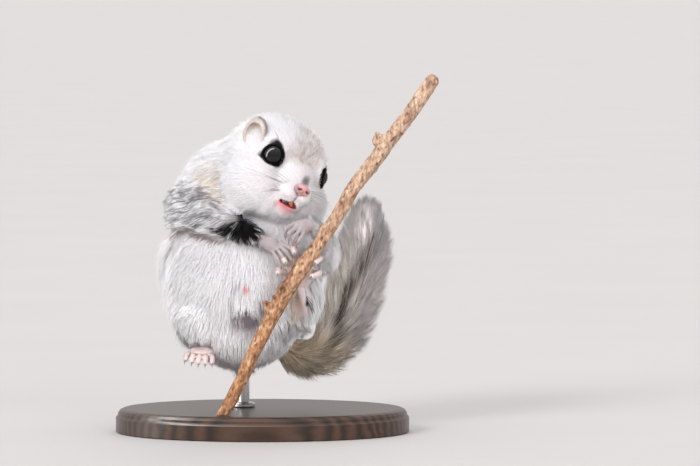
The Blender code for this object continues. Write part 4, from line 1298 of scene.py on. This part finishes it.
# %% Lay the long hair
TAIL_HAIRS = 20500
TAIL_LOCK_SHARE, TAIL_HOLD = 0.035, 0.38
BRUSH_FACES = np.array((0.12, -0.98, 0.10))
REACH_OUT = {1: 11.0, -1: 16.5}
tail_line = np.array([place for place, _ in smooth_line(TAIL_LINE, 24)])
tail_size = np.array([radius for _, radius in smooth_line(TAIL_LINE, 24)]) * TAIL_BONE
draw = np.random.RandomState(41)
share = np.sqrt(draw.uniform(0.0, 1.0, TAIL_HAIRS)) * 0.93 + 0.07
share = np.where(draw.uniform(size=TAIL_HAIRS) < 0.5, draw.uniform(0.06, 1.0, TAIL_HAIRS), share)
spot = share * (len(tail_line) - 1.001)
low = spot.astype(int)
part = (spot - low)[:, None]
middle = tail_line[low] * (1 - part) + tail_line[low + 1] * part
ahead = unit(tail_line[np.minimum(low + 3, len(tail_line) - 1)] - tail_line[np.maximum(low - 2, 0)])
face = unit(BRUSH_FACES - ahead * (ahead @ BRUSH_FACES)[:, None])
aside = np.cross(ahead, face)
turn = draw.uniform(0, math.tau, TAIL_HAIRS)
outward, fore = np.cos(turn), np.sin(turn)
side = np.where(outward < 0.12, -1, 1)
spread_out = draw.beta(1.5, 1.05, TAIL_HAIRS) * (0.30 + 0.70 * np.abs(outward))
reach = np.where(side > 0, REACH_OUT[1], REACH_OUT[-1]) * spread_out
reach *= np.minimum(1.0, 0.42 + share * 1.5) * (1 - 0.55 * np.maximum(0, share - 0.72) / 0.28)
forward = (12.5 + 5.0 * share) * draw.uniform(0.8, 1.15, TAIL_HAIRS) * (1.12 - 0.25 * spread_out)
forward *= 1 - 0.22 * np.clip((share - 0.8) / 0.2, 0, 1)
bone = tail_size[low][:, None]
from_bone = aside * outward[:, None] + face * fore[:, None]
sideways = aside * (side * reach)[:, None]
root = middle + from_bone * bone * 0.9
knee = root + ahead * (forward * 0.34)[:, None] + sideways * 0.66 + face * (fore * 1.1)[:, None]
to_face = fore * 0.9 * draw.uniform(0.2, 1.4, TAIL_HAIRS)
tip = root + ahead * forward[:, None] + sideways + face * to_face[:, None]
wave = 0.9 * waves(middle + aside * (side * 6)[:, None], 6.0, 77) + 0.5 * draw.normal(size=TAIL_HAIRS)
tip += np.cross(face, unit(tip - root)) * wave[:, None]
hold = np.full(TAIL_HAIRS, TAIL_HOLD)
tip, leader = locked(root + sideways * 0.8, tip, TAIL_LOCK_SHARE, hold, 15)
longest = np.linalg.norm(tip - root, axis=1).max()
print("the brush has", TAIL_HAIRS, "hairs, the longest", round(longest, 1), "mm")

# %% Colour the brush
INNER_TONES = (tone(206, 190, 176), tone(228, 214, 202), tone(238, 226, 214), tone(244, 236, 228))
OUTER_TONES = (tone(134, 122, 122), tone(156, 146, 146), tone(184, 175, 175), tone(226, 220, 218))
DARK_TONES = (tone(46, 38, 36), tone(56, 47, 45), tone(76, 66, 63), tone(140, 129, 125))
BASE_TONES = (tone(170, 148, 120), tone(204, 183, 154), tone(222, 203, 176), tone(232, 218, 196))
TOP_TONE = tone(206, 199, 202)
BAND = (
    ((26.0, 0, 32.5), 0.7), ((31.4, 0, 41.0), 1.0), ((35.3, 0, 58.6), 1.2), ((39.5, 0, 67.0), 1.5),
    ((45.0, 0, 76.2), 1.5), ((48.2, 0, 83.0), 1.0),
)
BAND_BLUR = 2.4
DARK_HAIRS = 0.30
single = draw.uniform(size=TAIL_HAIRS)
together = draw.uniform(size=TAIL_HAIRS)[leader]
shade = 1 + 0.10 * draw.normal(size=TAIL_HAIRS) + 0.14 * draw.normal(size=TAIL_HAIRS)[leader]
tail_tones = []
for ring in range(4):
    t = ring / 3
    spot = (1 - t) ** 2 * root + 2 * t * (1 - t) * knee + t * t * tip
    outer = np.clip(0.5 + side * spread_out * 3.0, 0, 1)
    colour = blended(np.tile(INNER_TONES[ring], (TAIL_HAIRS, 1)), OUTER_TONES[ring], outer)
    high = np.clip((spot[:, 2] - 64) / 20, 0, 1) * (0.75 - 0.35 * outer)
    colour = blended(colour, TOP_TONE, high)
    base = np.clip((45 - spot[:, 2]) / 9, 0, 1) * np.clip((40 - spot[:, 0]) / 6, 0, 1)
    mottle = 1 - 0.30 * np.clip(waves(spot, 3.0, 78), 0, 1)
    colour = blended(colour, BASE_TONES[ring], base * 0.9) * (1 - base + base * mottle)[:, None]
    flat = spot * np.array((1.0, 0.0, 1.0))
    band = ball_line_cover(flat, BAND, BAND_BLUR)
    band = band * (1.0 - 0.3 * (together > 0.7)) * (1 - 0.5 * (single > 0.8))
    colour = blended(colour, DARK_TONES[ring], band * (1 - 0.5 * base))
    streak = (0.6 * single + 0.4 * together < DARK_HAIRS) * (0.12 + 0.45 * outer) * (1 - t * 0.5)
    colour = blended(colour, DARK_TONES[ring], streak)
    tail_tones.append(np.clip(colour * np.clip(shade, 0.6, 1.3)[:, None], 0, 0.95))
tail_width = draw.uniform(0.19, 0.29, TAIL_HAIRS)
facing = unit(face + aside * (side * spread_out * 0.5)[:, None]) * np.where(fore > 0, 0.35, 0.0)[:, None]
for number, some in enumerate(np.array_split(np.argsort(share, kind="stable"), 2)):
    title = f"tail_hair_{number + 1}"
    tones = [colour[some] for colour in tail_tones]
    mesh = tuft_mesh(
        title, root[some], knee[some], tip[some], aside[some], tail_width[some], tones, facing[some]
    )
    as_piece(title, mesh, tail_finish)

# %% [markdown]
# ## The eyes
# A flying squirrel's eyes are large, round and so dark that no iris shows. Each is one smooth
# wet ball. The lids are a black rim: a ring is drawn round the opening, and its
# edge is extruded step by step over a low roll and down into the fur.

# %% Eyeballs
eye_finish, _, _ = new_material(
    "eye_wet", Base_Color=(0.004, 0.0035, 0.004, 1), Roughness=0.03, IOR=1.42
)
for side, name in ((1, "eye_left"), (-1, "eye_right")):
    form = bmesh.new()
    place = Matrix.Scale(MM, 4) @ IN_HEAD @ Matrix.Translation(mirrored(EYE_MIDDLE, side))
    bmesh.ops.create_icosphere(form, subdivisions=5, radius=EYE_RADIUS, matrix=place)
    ball = as_mesh(form, name)
    ball.shade_smooth()
    as_piece(name + "_ball", ball, eye_finish, (name,))

# %% Lids
LID_STEPS = ((0.0, -0.05), (0.08, 0.26), (0.32, 0.40), (0.70, 0.26), (1.15, -0.14), (1.6, -0.9))
LID_WALL = 0.3
OPENING = ((-150, 3.95), (-110, 3.62), (-60, 3.68), (-22, 4.1), (20, 3.66), (90, 3.6), (150, 3.6))


def lid(side):
    """The black rim round one eye's opening."""
    middle, outward, up, out = eye_axes(side)
    angles, radii = zip(*OPENING)
    form = bmesh.new()
    ring = bmesh.ops.create_circle(form, segments=96, radius=1.0)["verts"]
    turns = [math.atan2(vert.co.y, vert.co.x) for vert in ring]

    def shape(verts, beyond, lift):
        for vert, turn in zip(verts, turns):
            opening = np.interp(math.degrees(turn), angles, radii, period=360)
            opening *= LEFT_INNER_SHARE if side > 0 and math.cos(turn) < -0.1 else 1.0
            height = math.sqrt(EYE_RADIUS**2 - opening**2) + lift
            flat = outward * math.cos(turn) + up * math.sin(turn)
            vert.co = Vector((middle + flat * (opening + beyond) + out * height) * MM)

    shape(ring, *LID_STEPS[0])
    edges = list(form.edges)
    for beyond, lift in LID_STEPS[1:]:
        made = bmesh.ops.extrude_edge_only(form, edges=edges)["geom"]
        edges = [item for item in made if isinstance(item, bmesh.types.BMEdge) and item.is_boundary]
        new = {vert for edge in edges for vert in edge.verts}
        old_to_new = {}
        for edge in {edge for vert in new for edge in vert.link_edges}:
            one, other = edge.verts
            if (one in new) != (other in new):
                old_to_new[other if one in new else one] = one if one in new else other
        ring = [old_to_new[vert] for vert in ring]
        shape(ring, beyond, lift)
    bmesh.ops.recalc_face_normals(form, faces=form.faces)
    if form.faces[0].normal.dot(Vector(out)) < 0:
        bmesh.ops.reverse_faces(form, faces=form.faces)
    bmesh.ops.solidify(form, geom=list(form.faces), thickness=LID_WALL * MM)
    made = shaped(as_mesh(form, "lid"), ("SUBSURF", {"levels": 1, "render_levels": 1}))
    made.shade_smooth()
    return made


for side, word in ((1, "left"), (-1, "right")):
    mesh = lid(side)
    paint(mesh, BLACK)
    as_piece("lid_" + word, mesh, lid_finish)

# %% [markdown]
# ## Nose and mouth
# The nose is a bare pink pad with two comma-shaped nostrils and a groove below. It is fused from
# balls, and the nostrils and the groove are pressed in by moving its points, as with a tool in
# wet clay, and painted dark as painted shade inside them. The open mouth shows a tongue and the
# tips of two orange teeth.

# %% Nose
NOSE_CELL = 0.16
NOSTRIL = (((1.5, -26.8, -4.7), 0.16), ((2.1, -26.4, -4.9), 0.26), ((2.7, -25.7, -4.5), 0.14))
NOSTRIL_BLUR = 0.6
form = bmesh.new()
add_ball(form, (0.0, -24.7, -4.1), (3.3, 2.2, 2.1), frame_of=IN_HEAD)
for side in (1, -1):
    add_ball(form, (side * 2.0, -24.7, -4.7), (1.75, 1.9, 1.75), frame_of=IN_HEAD)
add_ball(form, (0.0, -24.3, -5.9), (0.8, 1.3, 1.4), frame_of=IN_HEAD)
nose = fused(as_mesh(form, "nose"), NOSE_CELL, 3)
points, normals = in_head(places_of(nose)), normals_of(nose)
depth = np.zeros(len(points))
for side in (1, -1):
    comma = [(mirrored(place, side), size) for place, size in NOSTRIL]
    depth = np.maximum(depth, ball_line_cover(points, comma, NOSTRIL_BLUR))
groove = np.clip(1 - np.abs(points[:, 0]) / 0.55, 0, 1) * np.clip((-4.4 - points[:, 2]) / 1.2, 0, 1)
nostril_shade = np.clip(depth / 0.7, 0, 1)
depth = np.maximum(depth, groove * 0.45)
set_places(nose, places_of(nose) - normals * depth[:, None])
rim = np.clip((np.abs(points[:, 0]) - 2.4) / 0.8, 0, 1) + np.clip((points[:, 2] + 3.0) / 1.2, 0, 1)
shade = np.tile(tone(208, 152, 152), (len(points), 1))
shade = blended(shade, tone(140, 112, 120), np.clip(rim, 0, 1) * 0.85)
# The nostrils, and the groove at half strength, are painted dark: painted shade inside them.
shade = blended(shade, tone(90, 52, 56), np.maximum(nostril_shade, groove * 0.5))
paint(nose, shade)
as_piece("nose_pad", nose, nose_finish, ("nose",))

# %% Tongue and teeth
form = bmesh.new()
add_ball(form, (0.0, -17.6, -12.6), (2.5, 3.3, 0.85), (6, 0, 0), IN_HEAD, 4)
tongue = as_mesh(form, "tongue")
points = in_head(places_of(tongue))
groove = np.clip(1 - np.abs(points[:, 0]) / 0.8, 0, 1) ** 2 * 0.3 * (points[:, 2] > -12.7)
set_places(tongue, places_of(tongue) - normals_of(tongue) * groove[:, None])
tongue.shade_smooth()
paint(tongue, tone(196, 70, 78))
as_piece("tongue_tip", tongue, wet_finish, ("tongue",))
form = bmesh.new()
for side in (1, -1):
    for step in range(12):
        spot = (side * 0.5, -20.0 - 0.05 * step - 0.01 * step**2 * 0.3, -9.4 - 0.19 * step)
        add_ball(form, spot, (0.47, 0.42 - 0.014 * step, 0.4), frame_of=IN_HEAD)
teeth = fused(as_mesh(form, "teeth"), 0.1, 2)
paint(teeth, tone(214, 132, 56))
as_piece("front_teeth", teeth, enamel_finish, ("incisors",))

# %% [markdown]
# ## Whiskers and claws
# Whiskers are the longest hairs of the face: they grow in rows on the muzzle and sweep back past the
# eyes. They are made as the tufts are, with more rings. A claw is a ball drawn out to a point
# and bent down.

# %% Whiskers
WHISKER_ROWS = (
    ((4.6, -22.6, -3.6), (0.90, 0.35, 0.25), 24),
    ((5.6, -21.6, -4.6), (0.93, 0.40, 0.10), 30),
    ((6.4, -20.6, -5.4), (0.92, 0.48, 0.02), 33),
    ((4.8, -22.4, -5.2), (0.90, 0.35, -0.08), 25),
    ((5.9, -21.2, -6.2), (0.90, 0.45, -0.14), 30),
    ((6.8, -20.0, -7.0), (0.88, 0.50, -0.20), 28),
    ((5.0, -22.0, -6.8), (0.86, 0.35, -0.35), 20),
    ((6.0, -20.8, -7.8), (0.86, 0.42, -0.40), 22),
    ((7.6, -18.6, -4.0), (0.85, 0.55, 0.20), 26),
    ((10.6, -14.6, 9.2), (0.55, 0.35, 0.80), 11),
)
draw = np.random.RandomState(61)
rows = []
for place, way, long in WHISKER_ROWS:
    for side in (1, -1):
        for _ in range(2):
            start = IN_HEAD @ (mirrored(place, side) + Vector(draw.normal(size=3) * 0.35))
            aim = (mirrored(way, side) + Vector(draw.normal(size=3) * 0.07)).normalized()
            size = long * draw.uniform(0.65, 1.05) * (1.0 if side > 0 else 0.66)
            ahead = HEAD_TURN.to_3x3() @ aim
            droop = HEAD_TURN.to_3x3() @ Vector((0, 0.55, -0.55)) * size * (0.34 if side > 0 else 0.12)
            rows.append((start, start + ahead * size * 0.55, start + ahead * size + droop))
root, knee, tip = (np.array(part, float) for part in zip(*rows))
free = ~inside_of(tree_of(("twig",))[0], tip, 0.4)
root, knee, tip = root[free], knee[free], tip[free]
dark = np.tile(tone(74, 66, 68), (len(root), 1))
tones = [dark * share for share in (1.0, 1.0, 1.1, 1.3, 1.6, 2.0, 2.4)]
across = np.tile((0.0, 0.3, 1.0), (len(root), 1))
facing = unit(tip - root + np.array((0.0, -9.0, 0.0))) * 0.6
mesh = tuft_mesh("whiskers", root, knee, tip, across, np.full(len(root), 0.13), tones, facing)
as_piece("whiskers", mesh, horn_finish)

# %% Claws
CLAW_LONG = {HAND: 1.7, FOOT: 2.2}
CLAW_DROP = 0.55
form = bmesh.new()
for _, group, _, digits, radius in PAWS:
    long = CLAW_LONG[group]
    for root, knuckle, tip in digits:
        start, ahead = Vector(tip), (Vector(tip) - Vector(knuckle)).normalized()
        made = bmesh.ops.create_icosphere(form, subdivisions=3, radius=1.0)["verts"]
        down = Vector((0, 0, -1))
        down = (down - ahead * down.dot(ahead)).normalized()
        beside = ahead.cross(down)
        for vert in made:
            t = (vert.co.x + 1) / 2
            girth = radius * 0.5 * (1 - 0.92 * t)
            round_out = Vector((0, vert.co.y, vert.co.z))
            round_out = round_out.normalized() if round_out.length > 1e-4 else round_out
            flat = beside * round_out.y * girth * 0.75 + down * round_out.z * girth
            line = start + ahead * (radius * 0.35 + long * t) + down * (long * CLAW_DROP * t * t)
            vert.co = (line + flat) * MM
bmesh.ops.recalc_face_normals(form, faces=form.faces)
claws = as_mesh(form, "claws")
claws.shade_smooth()
paint(claws, tone(122, 110, 104))
as_piece("claws", claws, horn_finish)

# %% [markdown]
# ## The twig
# The perch is a length of living twig, orange-brown and cracked, with the scars of old buds. A
# string of balls along its line is fused to one stem, and its bark is raised by noise that is drawn
# out along the wood. Its foot is cut level, just above the board.

# %% Model the stem
TWIG_LINE = (
    ((-21.4, -36.0, -2.6), 2.9), ((-16.2, -36.2, 9.4), 2.8), ((-9.6, -36.0, 22.3), 2.8),
    ((-3.4, -36.5, 35.3), 2.8), ((2.5, -37.0, 47.1), 3.0), ((7.1, -37.2, 56.0), 3.3),
    ((11.4, -37.2, 63.4), 3.5), ((17.5, -37.0, 72.4), 3.5), ((23.8, -36.5, 81.1), 3.1),
    ((31.1, -36.0, 92.0), 3.0), ((38.0, -35.5, 104.1), 3.1), ((46.3, -35.3, 114.8), 3.2),
    ((53.6, -35.0, 124.9), 3.2), ((62.5, -35.0, 136.6), 3.2), ((70.8, -35.0, 148.8), 3.2),
)
KNOTS = (
    ((3.3, -38.0, 54.3), (2.0, 2.0, 3.6), (0, -12, 0)),
    ((2.0, -38.4, 57.0), (1.1, 1.1, 1.5), (0, -20, 0)),
    ((9.8, -38.2, 62.2), (3.4, 3.4, 3.2), (0, 35, 0)),
    ((8.6, -39.6, 63.6), (1.4, 1.6, 1.2), (0, 35, 0)),
    ((5.6, -38.8, 59.2), (1.2, 1.4, 1.1), (0, 35, 0)),
    ((48.9, -35.6, 124.5), (2.6, 2.3, 3.0), (0, 36, 0)),
    ((48.2, -36.4, 127.0), (1.2, 1.2, 1.5), (0, -10, 0)),
    ((27.3, -36.6, 86.8), (3.2, 2.9, 3.5), (0, 35, 0)),
)
TWIG_CELL = 0.5
TWIG_FOOT = 10.3
form = bmesh.new()
for place, radius in smooth_line(TWIG_LINE, 9):
    add_ball(form, place, (radius * 0.97,) * 3)
for middle, radii, turn in KNOTS:
    add_ball(form, middle, radii, turn)
stem = fused(as_mesh(form, "stem"), TWIG_CELL, 3)
grain_way = np.array((0.54, 0.0, 0.84))


def drawn_out(points, share):
    """Points pressed together along the grain, so that noise on them is drawn out."""
    return points - (points @ grain_way)[:, None] * grain_way * (1 - share)


points, normals = places_of(stem), normals_of(stem)
ridge = waves(drawn_out(points, 0.22), 1.7, 91, 9)
crack = waves(drawn_out(points, 0.30), 0.8, 92, 9)
rough = 0.20 * ridge - 0.22 * np.clip(crack - 0.5, 0, 1) + 0.10 * waves(points, 1.0, 93, 9)
set_places(stem, points + normals * rough[:, None])
form = bmesh.new()
form.from_mesh(stem)
everything = [*form.verts, *form.edges, *form.faces]
bmesh.ops.bisect_plane(
    form, geom=everything, plane_co=(0, 0, TWIG_FOOT * MM), plane_no=(0, 0, -1), clear_outer=True
)
bmesh.ops.holes_fill(form, edges=[edge for edge in form.edges if edge.is_boundary])
stem = as_mesh(form, "stem")
stem.shade_smooth()
points = places_of(stem)
height = np.clip((points[:, 2] - 45) / 75, 0, 1)
bark = blended(np.tile(tone(172, 126, 92), (len(points), 1)), tone(196, 168, 148), height)
FLECKS = (
    (tone(118, 84, 70), 0.4, 3.2, 94, 7, 0.0, 0.6),
    (tone(212, 178, 146), 0.4, 1.3, 95, 9, 0.0, 0.6),
    (tone(104, 62, 44), 0.7, 0.9, 96, 9, 0.35, 0.9),
)
for colour, drawn, size, seed, count, above, strength in FLECKS:
    cover = np.clip(waves(drawn_out(points, drawn), size, seed, count) - above, 0, 1)
    bark = blended(bark, colour, cover * strength)
SCARS = (
    ((8.8, -40.6, 63.4), 1.9), ((5.6, -40.0, 59.4), 1.2), ((47.2, -38.4, 111.0), 1.2),
    ((49.4, -38.0, 113.6), 1.0), ((2.2, -40.0, 57.2), 1.0), ((25.0, -39.4, 84.0), 1.0),
)
ragged = 1 + 0.45 * waves(points, 0.9, 97)
for spot, size in SCARS:
    cover = np.clip(1.4 - np.linalg.norm(points - spot, axis=1) * ragged / size, 0, 1)
    bark = blended(bark, tone(74, 44, 34), cover * 0.8)
# A dark line down the twig's right edge: painted shade of its shaded side, and a crack in the bark.
RIGHT_EDGE_SHADE_AND_CRACK = (
    ((5.6, -37, 42.5), 0.35), ((9.6, -37.2, 53), 0.4), ((14.2, -37.2, 60), 0.45), ((18.6, -37, 66), 0.2),
)
cover = ball_line_cover(points * (1, 0, 1) + (0, -37, 0), RIGHT_EDGE_SHADE_AND_CRACK, 0.9)
bark = blended(bark, tone(52, 30, 24), cover * 0.85)
paint(stem, bark)
print("the stem has", len(points), "points")

# %% Finish of the bark
bark_finish, tree, shader = new_material("bark", Roughness=0.85, Specular_IOR_Level=0.2)
colour = node(tree, "ShaderNodeAttribute", attribute_name="coat_colour")
place = node(tree, "ShaderNodeTexCoord")
stretch = node(tree, "ShaderNodeMapping", Scale=(1.0, 1.0, 0.3), Rotation=(0.0, -0.57, 0.0))
cells = node(tree, "ShaderNodeTexNoise", Scale=900.0, Detail=6.0, Roughness=0.65)
dots = node(tree, "ShaderNodeTexVoronoi", Scale=520.0)
mix = node(tree, "ShaderNodeMix", data_type="RGBA", blend_type="MULTIPLY")
mix.inputs["Factor"].default_value = 0.75
ramp = two_tone_ramp(tree, (0.20, 0.17, 0.15), (1.35, 1.32, 1.28), 0.32, 0.62)
bump = node(tree, "ShaderNodeBump", Strength=0.8, Distance=0.0006)
fine = node(tree, "ShaderNodeBump", Strength=0.5, Distance=0.0004)
wire(tree, place, "Object", stretch, "Vector")
wire(tree, stretch, "Vector", cells, "Vector")
wire(tree, place, "Object", dots, "Vector")
wire(tree, cells, "Fac", ramp, "Fac")
wire(tree, colour, "Color", mix, "A")
wire(tree, ramp, "Color", mix, "B")
wire(tree, mix, "Result", shader, "Base Color")
wire(tree, dots, "Distance", fine, "Height")
wire(tree, cells, "Fac", bump, "Height")
wire(tree, fine, "Normal", bump, "Normal")
wire(tree, bump, "Normal", shader, "Normal")
as_piece("twig_bark", stem, bark_finish, ("twig",))

# %% [markdown]
# ## The stand
# An oval board of dark oiled wood and a brushed steel rod hold the animal up, as in a museum. The
# board's outline is extruded up through a few named steps, which round its edge.

# %% Board


def turned_form(halves, steps, segments):
    """A round or oval form, drawn up from its lowest face through steps of (size, height)."""
    form = bmesh.new()
    ring = bmesh.ops.create_circle(form, segments=segments, radius=1.0, cap_ends=True)["verts"]
    bmesh.ops.scale(form, vec=(*(half * steps[0][0] * MM for half in halves), 1.0), verts=ring)
    face = form.faces[:][0]
    for (before, _), (size, high) in zip(steps, steps[1:]):
        made = bmesh.ops.extrude_face_region(form, geom=[face])["geom"]
        face = next(item for item in made if isinstance(item, bmesh.types.BMFace))
        bmesh.ops.scale(form, vec=(size / before, size / before, 1.0), verts=face.verts)
        for vert in face.verts:
            vert.co.z = high * MM
    return form, face


def finished_form(form, name, sharp_from):
    """The form's mesh, smooth but for its edges that are sharper than that many degrees."""
    bmesh.ops.recalc_face_normals(form, faces=form.faces)
    mesh = as_mesh(form, name)
    mesh.shade_smooth()
    mesh.set_sharp_from_angle(angle=math.radians(sharp_from))
    return mesh


BOARD_HALF = (62.0, 49.0)
BOARD_STEPS = (
    (0.990, 0.0), (1.0, 0.6), (1.0, 6.4), (0.992, 6.9),
    (0.986, 7.4), (0.984, 8.4), (0.972, 9.4), (0.952, 10.0),
)
BOARD_RIM = 2.2
form, face = turned_form(BOARD_HALF, BOARD_STEPS, 160)
bmesh.ops.inset_individual(form, faces=[face], thickness=BOARD_RIM * MM, depth=0.0)
board = finished_form(form, "board", 50)

# %% Rod
ROD_PLACE = (-8.0, 5.0)
ROD_GIRTH = 2.4
ROD_FOOT, ROD_TOP = 10.3, 44.0
ROD_STEPS = (
    (4.6, 0.0), (4.9, 0.3), (4.9, 1.2), (4.5, 1.7), (2.9, 2.1),
    (ROD_GIRTH, 2.5), (ROD_GIRTH, ROD_TOP - ROD_FOOT),
)
form, _ = turned_form((1.0, 1.0), ROD_STEPS, 48)
bmesh.ops.translate(form, vec=Vector((*ROD_PLACE, ROD_FOOT)) * MM, verts=form.verts)
rod = finished_form(form, "rod", 40)

# %% Finishes of the stand
wood_finish, tree, shader = new_material(
    "dark_wood", Roughness=0.38, Specular_IOR_Level=0.4, Coat_Weight=0.25, Coat_Roughness=0.18
)
place = node(tree, "ShaderNodeTexCoord")
stretch = node(tree, "ShaderNodeMapping", Scale=(0.16, 1.0, 1.0))
rings = node(tree, "ShaderNodeTexWave", Scale=95.0, Distortion=6.0, Detail=3.0, bands_direction="Y")
pores = node(tree, "ShaderNodeTexNoise", Scale=700.0, Detail=5.0, Roughness=0.7)
ramp = two_tone_ramp(tree, (0.026, 0.012, 0.007), (0.085, 0.042, 0.024))
mix = node(tree, "ShaderNodeMix", data_type="RGBA", blend_type="MULTIPLY")
mix.inputs["Factor"].default_value = 0.5
bump = node(tree, "ShaderNodeBump", Strength=0.25, Distance=0.0002)
wire(tree, place, "Object", stretch, "Vector")
wire(tree, stretch, "Vector", rings, "Vector")
wire(tree, stretch, "Vector", pores, "Vector")
wire(tree, rings, "Fac", ramp, "Fac")
wire(tree, ramp, "Color", mix, "A")
wire(tree, pores, "Color", mix, "B")
wire(tree, mix, "Result", shader, "Base Color")
wire(tree, pores, "Fac", bump, "Height")
wire(tree, bump, "Normal", shader, "Normal")
steel_finish, tree, shader = new_material("brushed_steel", Metallic=1.0, Base_Color=(0.55, 0.55, 0.56, 1))
place = node(tree, "ShaderNodeTexCoord")
stretch = node(tree, "ShaderNodeMapping", Scale=(1.0, 1.0, 14.0))
lines = node(tree, "ShaderNodeTexNoise", Scale=500.0, Detail=3.0)
spread_out = node(tree, "ShaderNodeMapRange")
spread_out.inputs["To Min"].default_value = 0.22
spread_out.inputs["To Max"].default_value = 0.42
bump = node(tree, "ShaderNodeBump", Strength=0.12, Distance=0.0001)
wire(tree, place, "Object", stretch, "Vector")
wire(tree, stretch, "Vector", lines, "Vector")
wire(tree, lines, "Fac", spread_out, "Value")
wire(tree, spread_out, "Result", shader, "Roughness")
wire(tree, lines, "Fac", bump, "Height")
wire(tree, bump, "Normal", shader, "Normal")
as_piece("board", board, wood_finish, ("stand_base",))
as_piece("rod", rod, steel_finish, ("stand_rod",))

# %% [markdown]
# ## Stage
# A plain pale floor, three broad distant lamps, and a camera where the photographer stood: level
# with the animal, far off, with a long lens. The room's own light gets brighter towards the top,
# and meets the floor at the horizon in the same tone. One strip of light shows only in wet things,
# as the bright arc in the eyes.

# %% Floor and light


def sun(name, azimuth, elevation, strength, spread, colour):
    """A distant lamp, at an angle from the front (to the right is above 0) and over the horizon."""
    data = bpy.data.lights.new(name, "SUN")
    data.energy = strength
    data.angle = math.radians(spread)
    data.color = colour
    made = placed(name, data)
    made.visible_glossy = False
    flat = math.cos(math.radians(elevation))
    turn = math.radians(azimuth)
    up = math.sin(math.radians(elevation))
    to_lamp = Vector((math.sin(turn) * flat, -math.cos(turn) * flat, up))
    made.rotation_euler = to_lamp.to_track_quat("Z", "Y").to_euler()


sun("key", -35, 24, 2.0, 20, (1.0, 0.99, 0.98))
sun("fill", 28, 7, 1.6, 40, (0.98, 0.99, 1.0))
sun("back_rim", 165, 35, 0.5, 40, (1.0, 1.0, 1.0))
strip = bpy.data.lights.new("eye_light", "AREA")
strip.shape = "RECTANGLE"
strip.size, strip.size_y = 0.36, 2.8
strip.energy = 44.0
eye_light = placed("eye_light", strip)
EYE_LIGHT_PLACE = Vector((-0.85, -0.12, 0.95))
eye_light.location = EYE_LIGHT_PLACE
eye_light.rotation_euler = (Vector((0.0, -0.02, 0.1)) - EYE_LIGHT_PLACE).to_track_quat("-Z", "Y").to_euler()
eye_light.visible_diffuse = False
world = bpy.data.worlds.new("studio")
bpy.context.scene.world = world
world.use_nodes = True
tree = world.node_tree
place = node(tree, "ShaderNodeTexCoord")
split = node(tree, "ShaderNodeSeparateXYZ")
ramp = node(tree, "ShaderNodeValToRGB")
SKY = ((0.0, (0.61, 0.59, 0.58, 1)), (0.12, (0.60, 0.58, 0.57, 1)), (0.22, (0.70, 0.69, 0.69, 1)),
       (0.55, (0.76, 0.76, 0.77, 1)), (0.80, (1.20, 1.20, 1.22, 1)))
while len(ramp.color_ramp.elements) < len(SKY):
    ramp.color_ramp.elements.new(0.5)
for element, (height, colour) in zip(ramp.color_ramp.elements, SKY):
    element.position = height
    element.color = colour
wire(tree, place, "Generated", split, "Vector")
wire(tree, split, "Z", ramp, "Fac")
wire(tree, ramp, "Color", tree.nodes["Background"], "Color")
bpy.context.scene.view_settings.view_transform = "Standard"

form = bmesh.new()
bmesh.ops.create_circle(form, cap_ends=True, segments=96, radius=30.0)
floor_mesh = as_mesh(form, "floor")
floor_finish, tree, shader = new_material("pale_floor", Roughness=0.8, Specular_IOR_Level=0.2)
place = node(tree, "ShaderNodeTexCoord")
clouds = node(tree, "ShaderNodeTexNoise", Scale=9.0, Detail=3.0)
ramp = two_tone_ramp(tree, (0.52, 0.50, 0.49), (0.55, 0.53, 0.52))
wire(tree, place, "Object", clouds, "Vector")
wire(tree, clouds, "Fac", ramp, "Fac")
wire(tree, ramp, "Color", shader, "Base Color")
floor_mesh.materials.append(floor_finish)
floor = placed("floor", floor_mesh)

# %% Camera
POINT = 0.42
PICTURE_WIDE = 700
AIM_X, AIM_Z = (350 - 262) * POINT, 182.5 - POINT * 233
ELEVATION = math.radians(3)
DISTANCE = 2.2
camera_data = bpy.data.cameras.new("camera")
camera = placed("camera", camera_data)
bpy.context.scene.camera = camera
back = Vector((0, -math.cos(ELEVATION), math.sin(ELEVATION)))
camera.location = Vector((AIM_X, -10, AIM_Z)) * MM + back * DISTANCE
camera.rotation_euler = (-back).to_track_quat("-Z", "Y").to_euler()
camera_data.lens = camera_data.sensor_width * DISTANCE / (PICTURE_WIDE * POINT * MM)
camera_data.clip_start = 0.1
camera_data.clip_end = 100
print("the lens is", round(camera_data.lens), "mm")
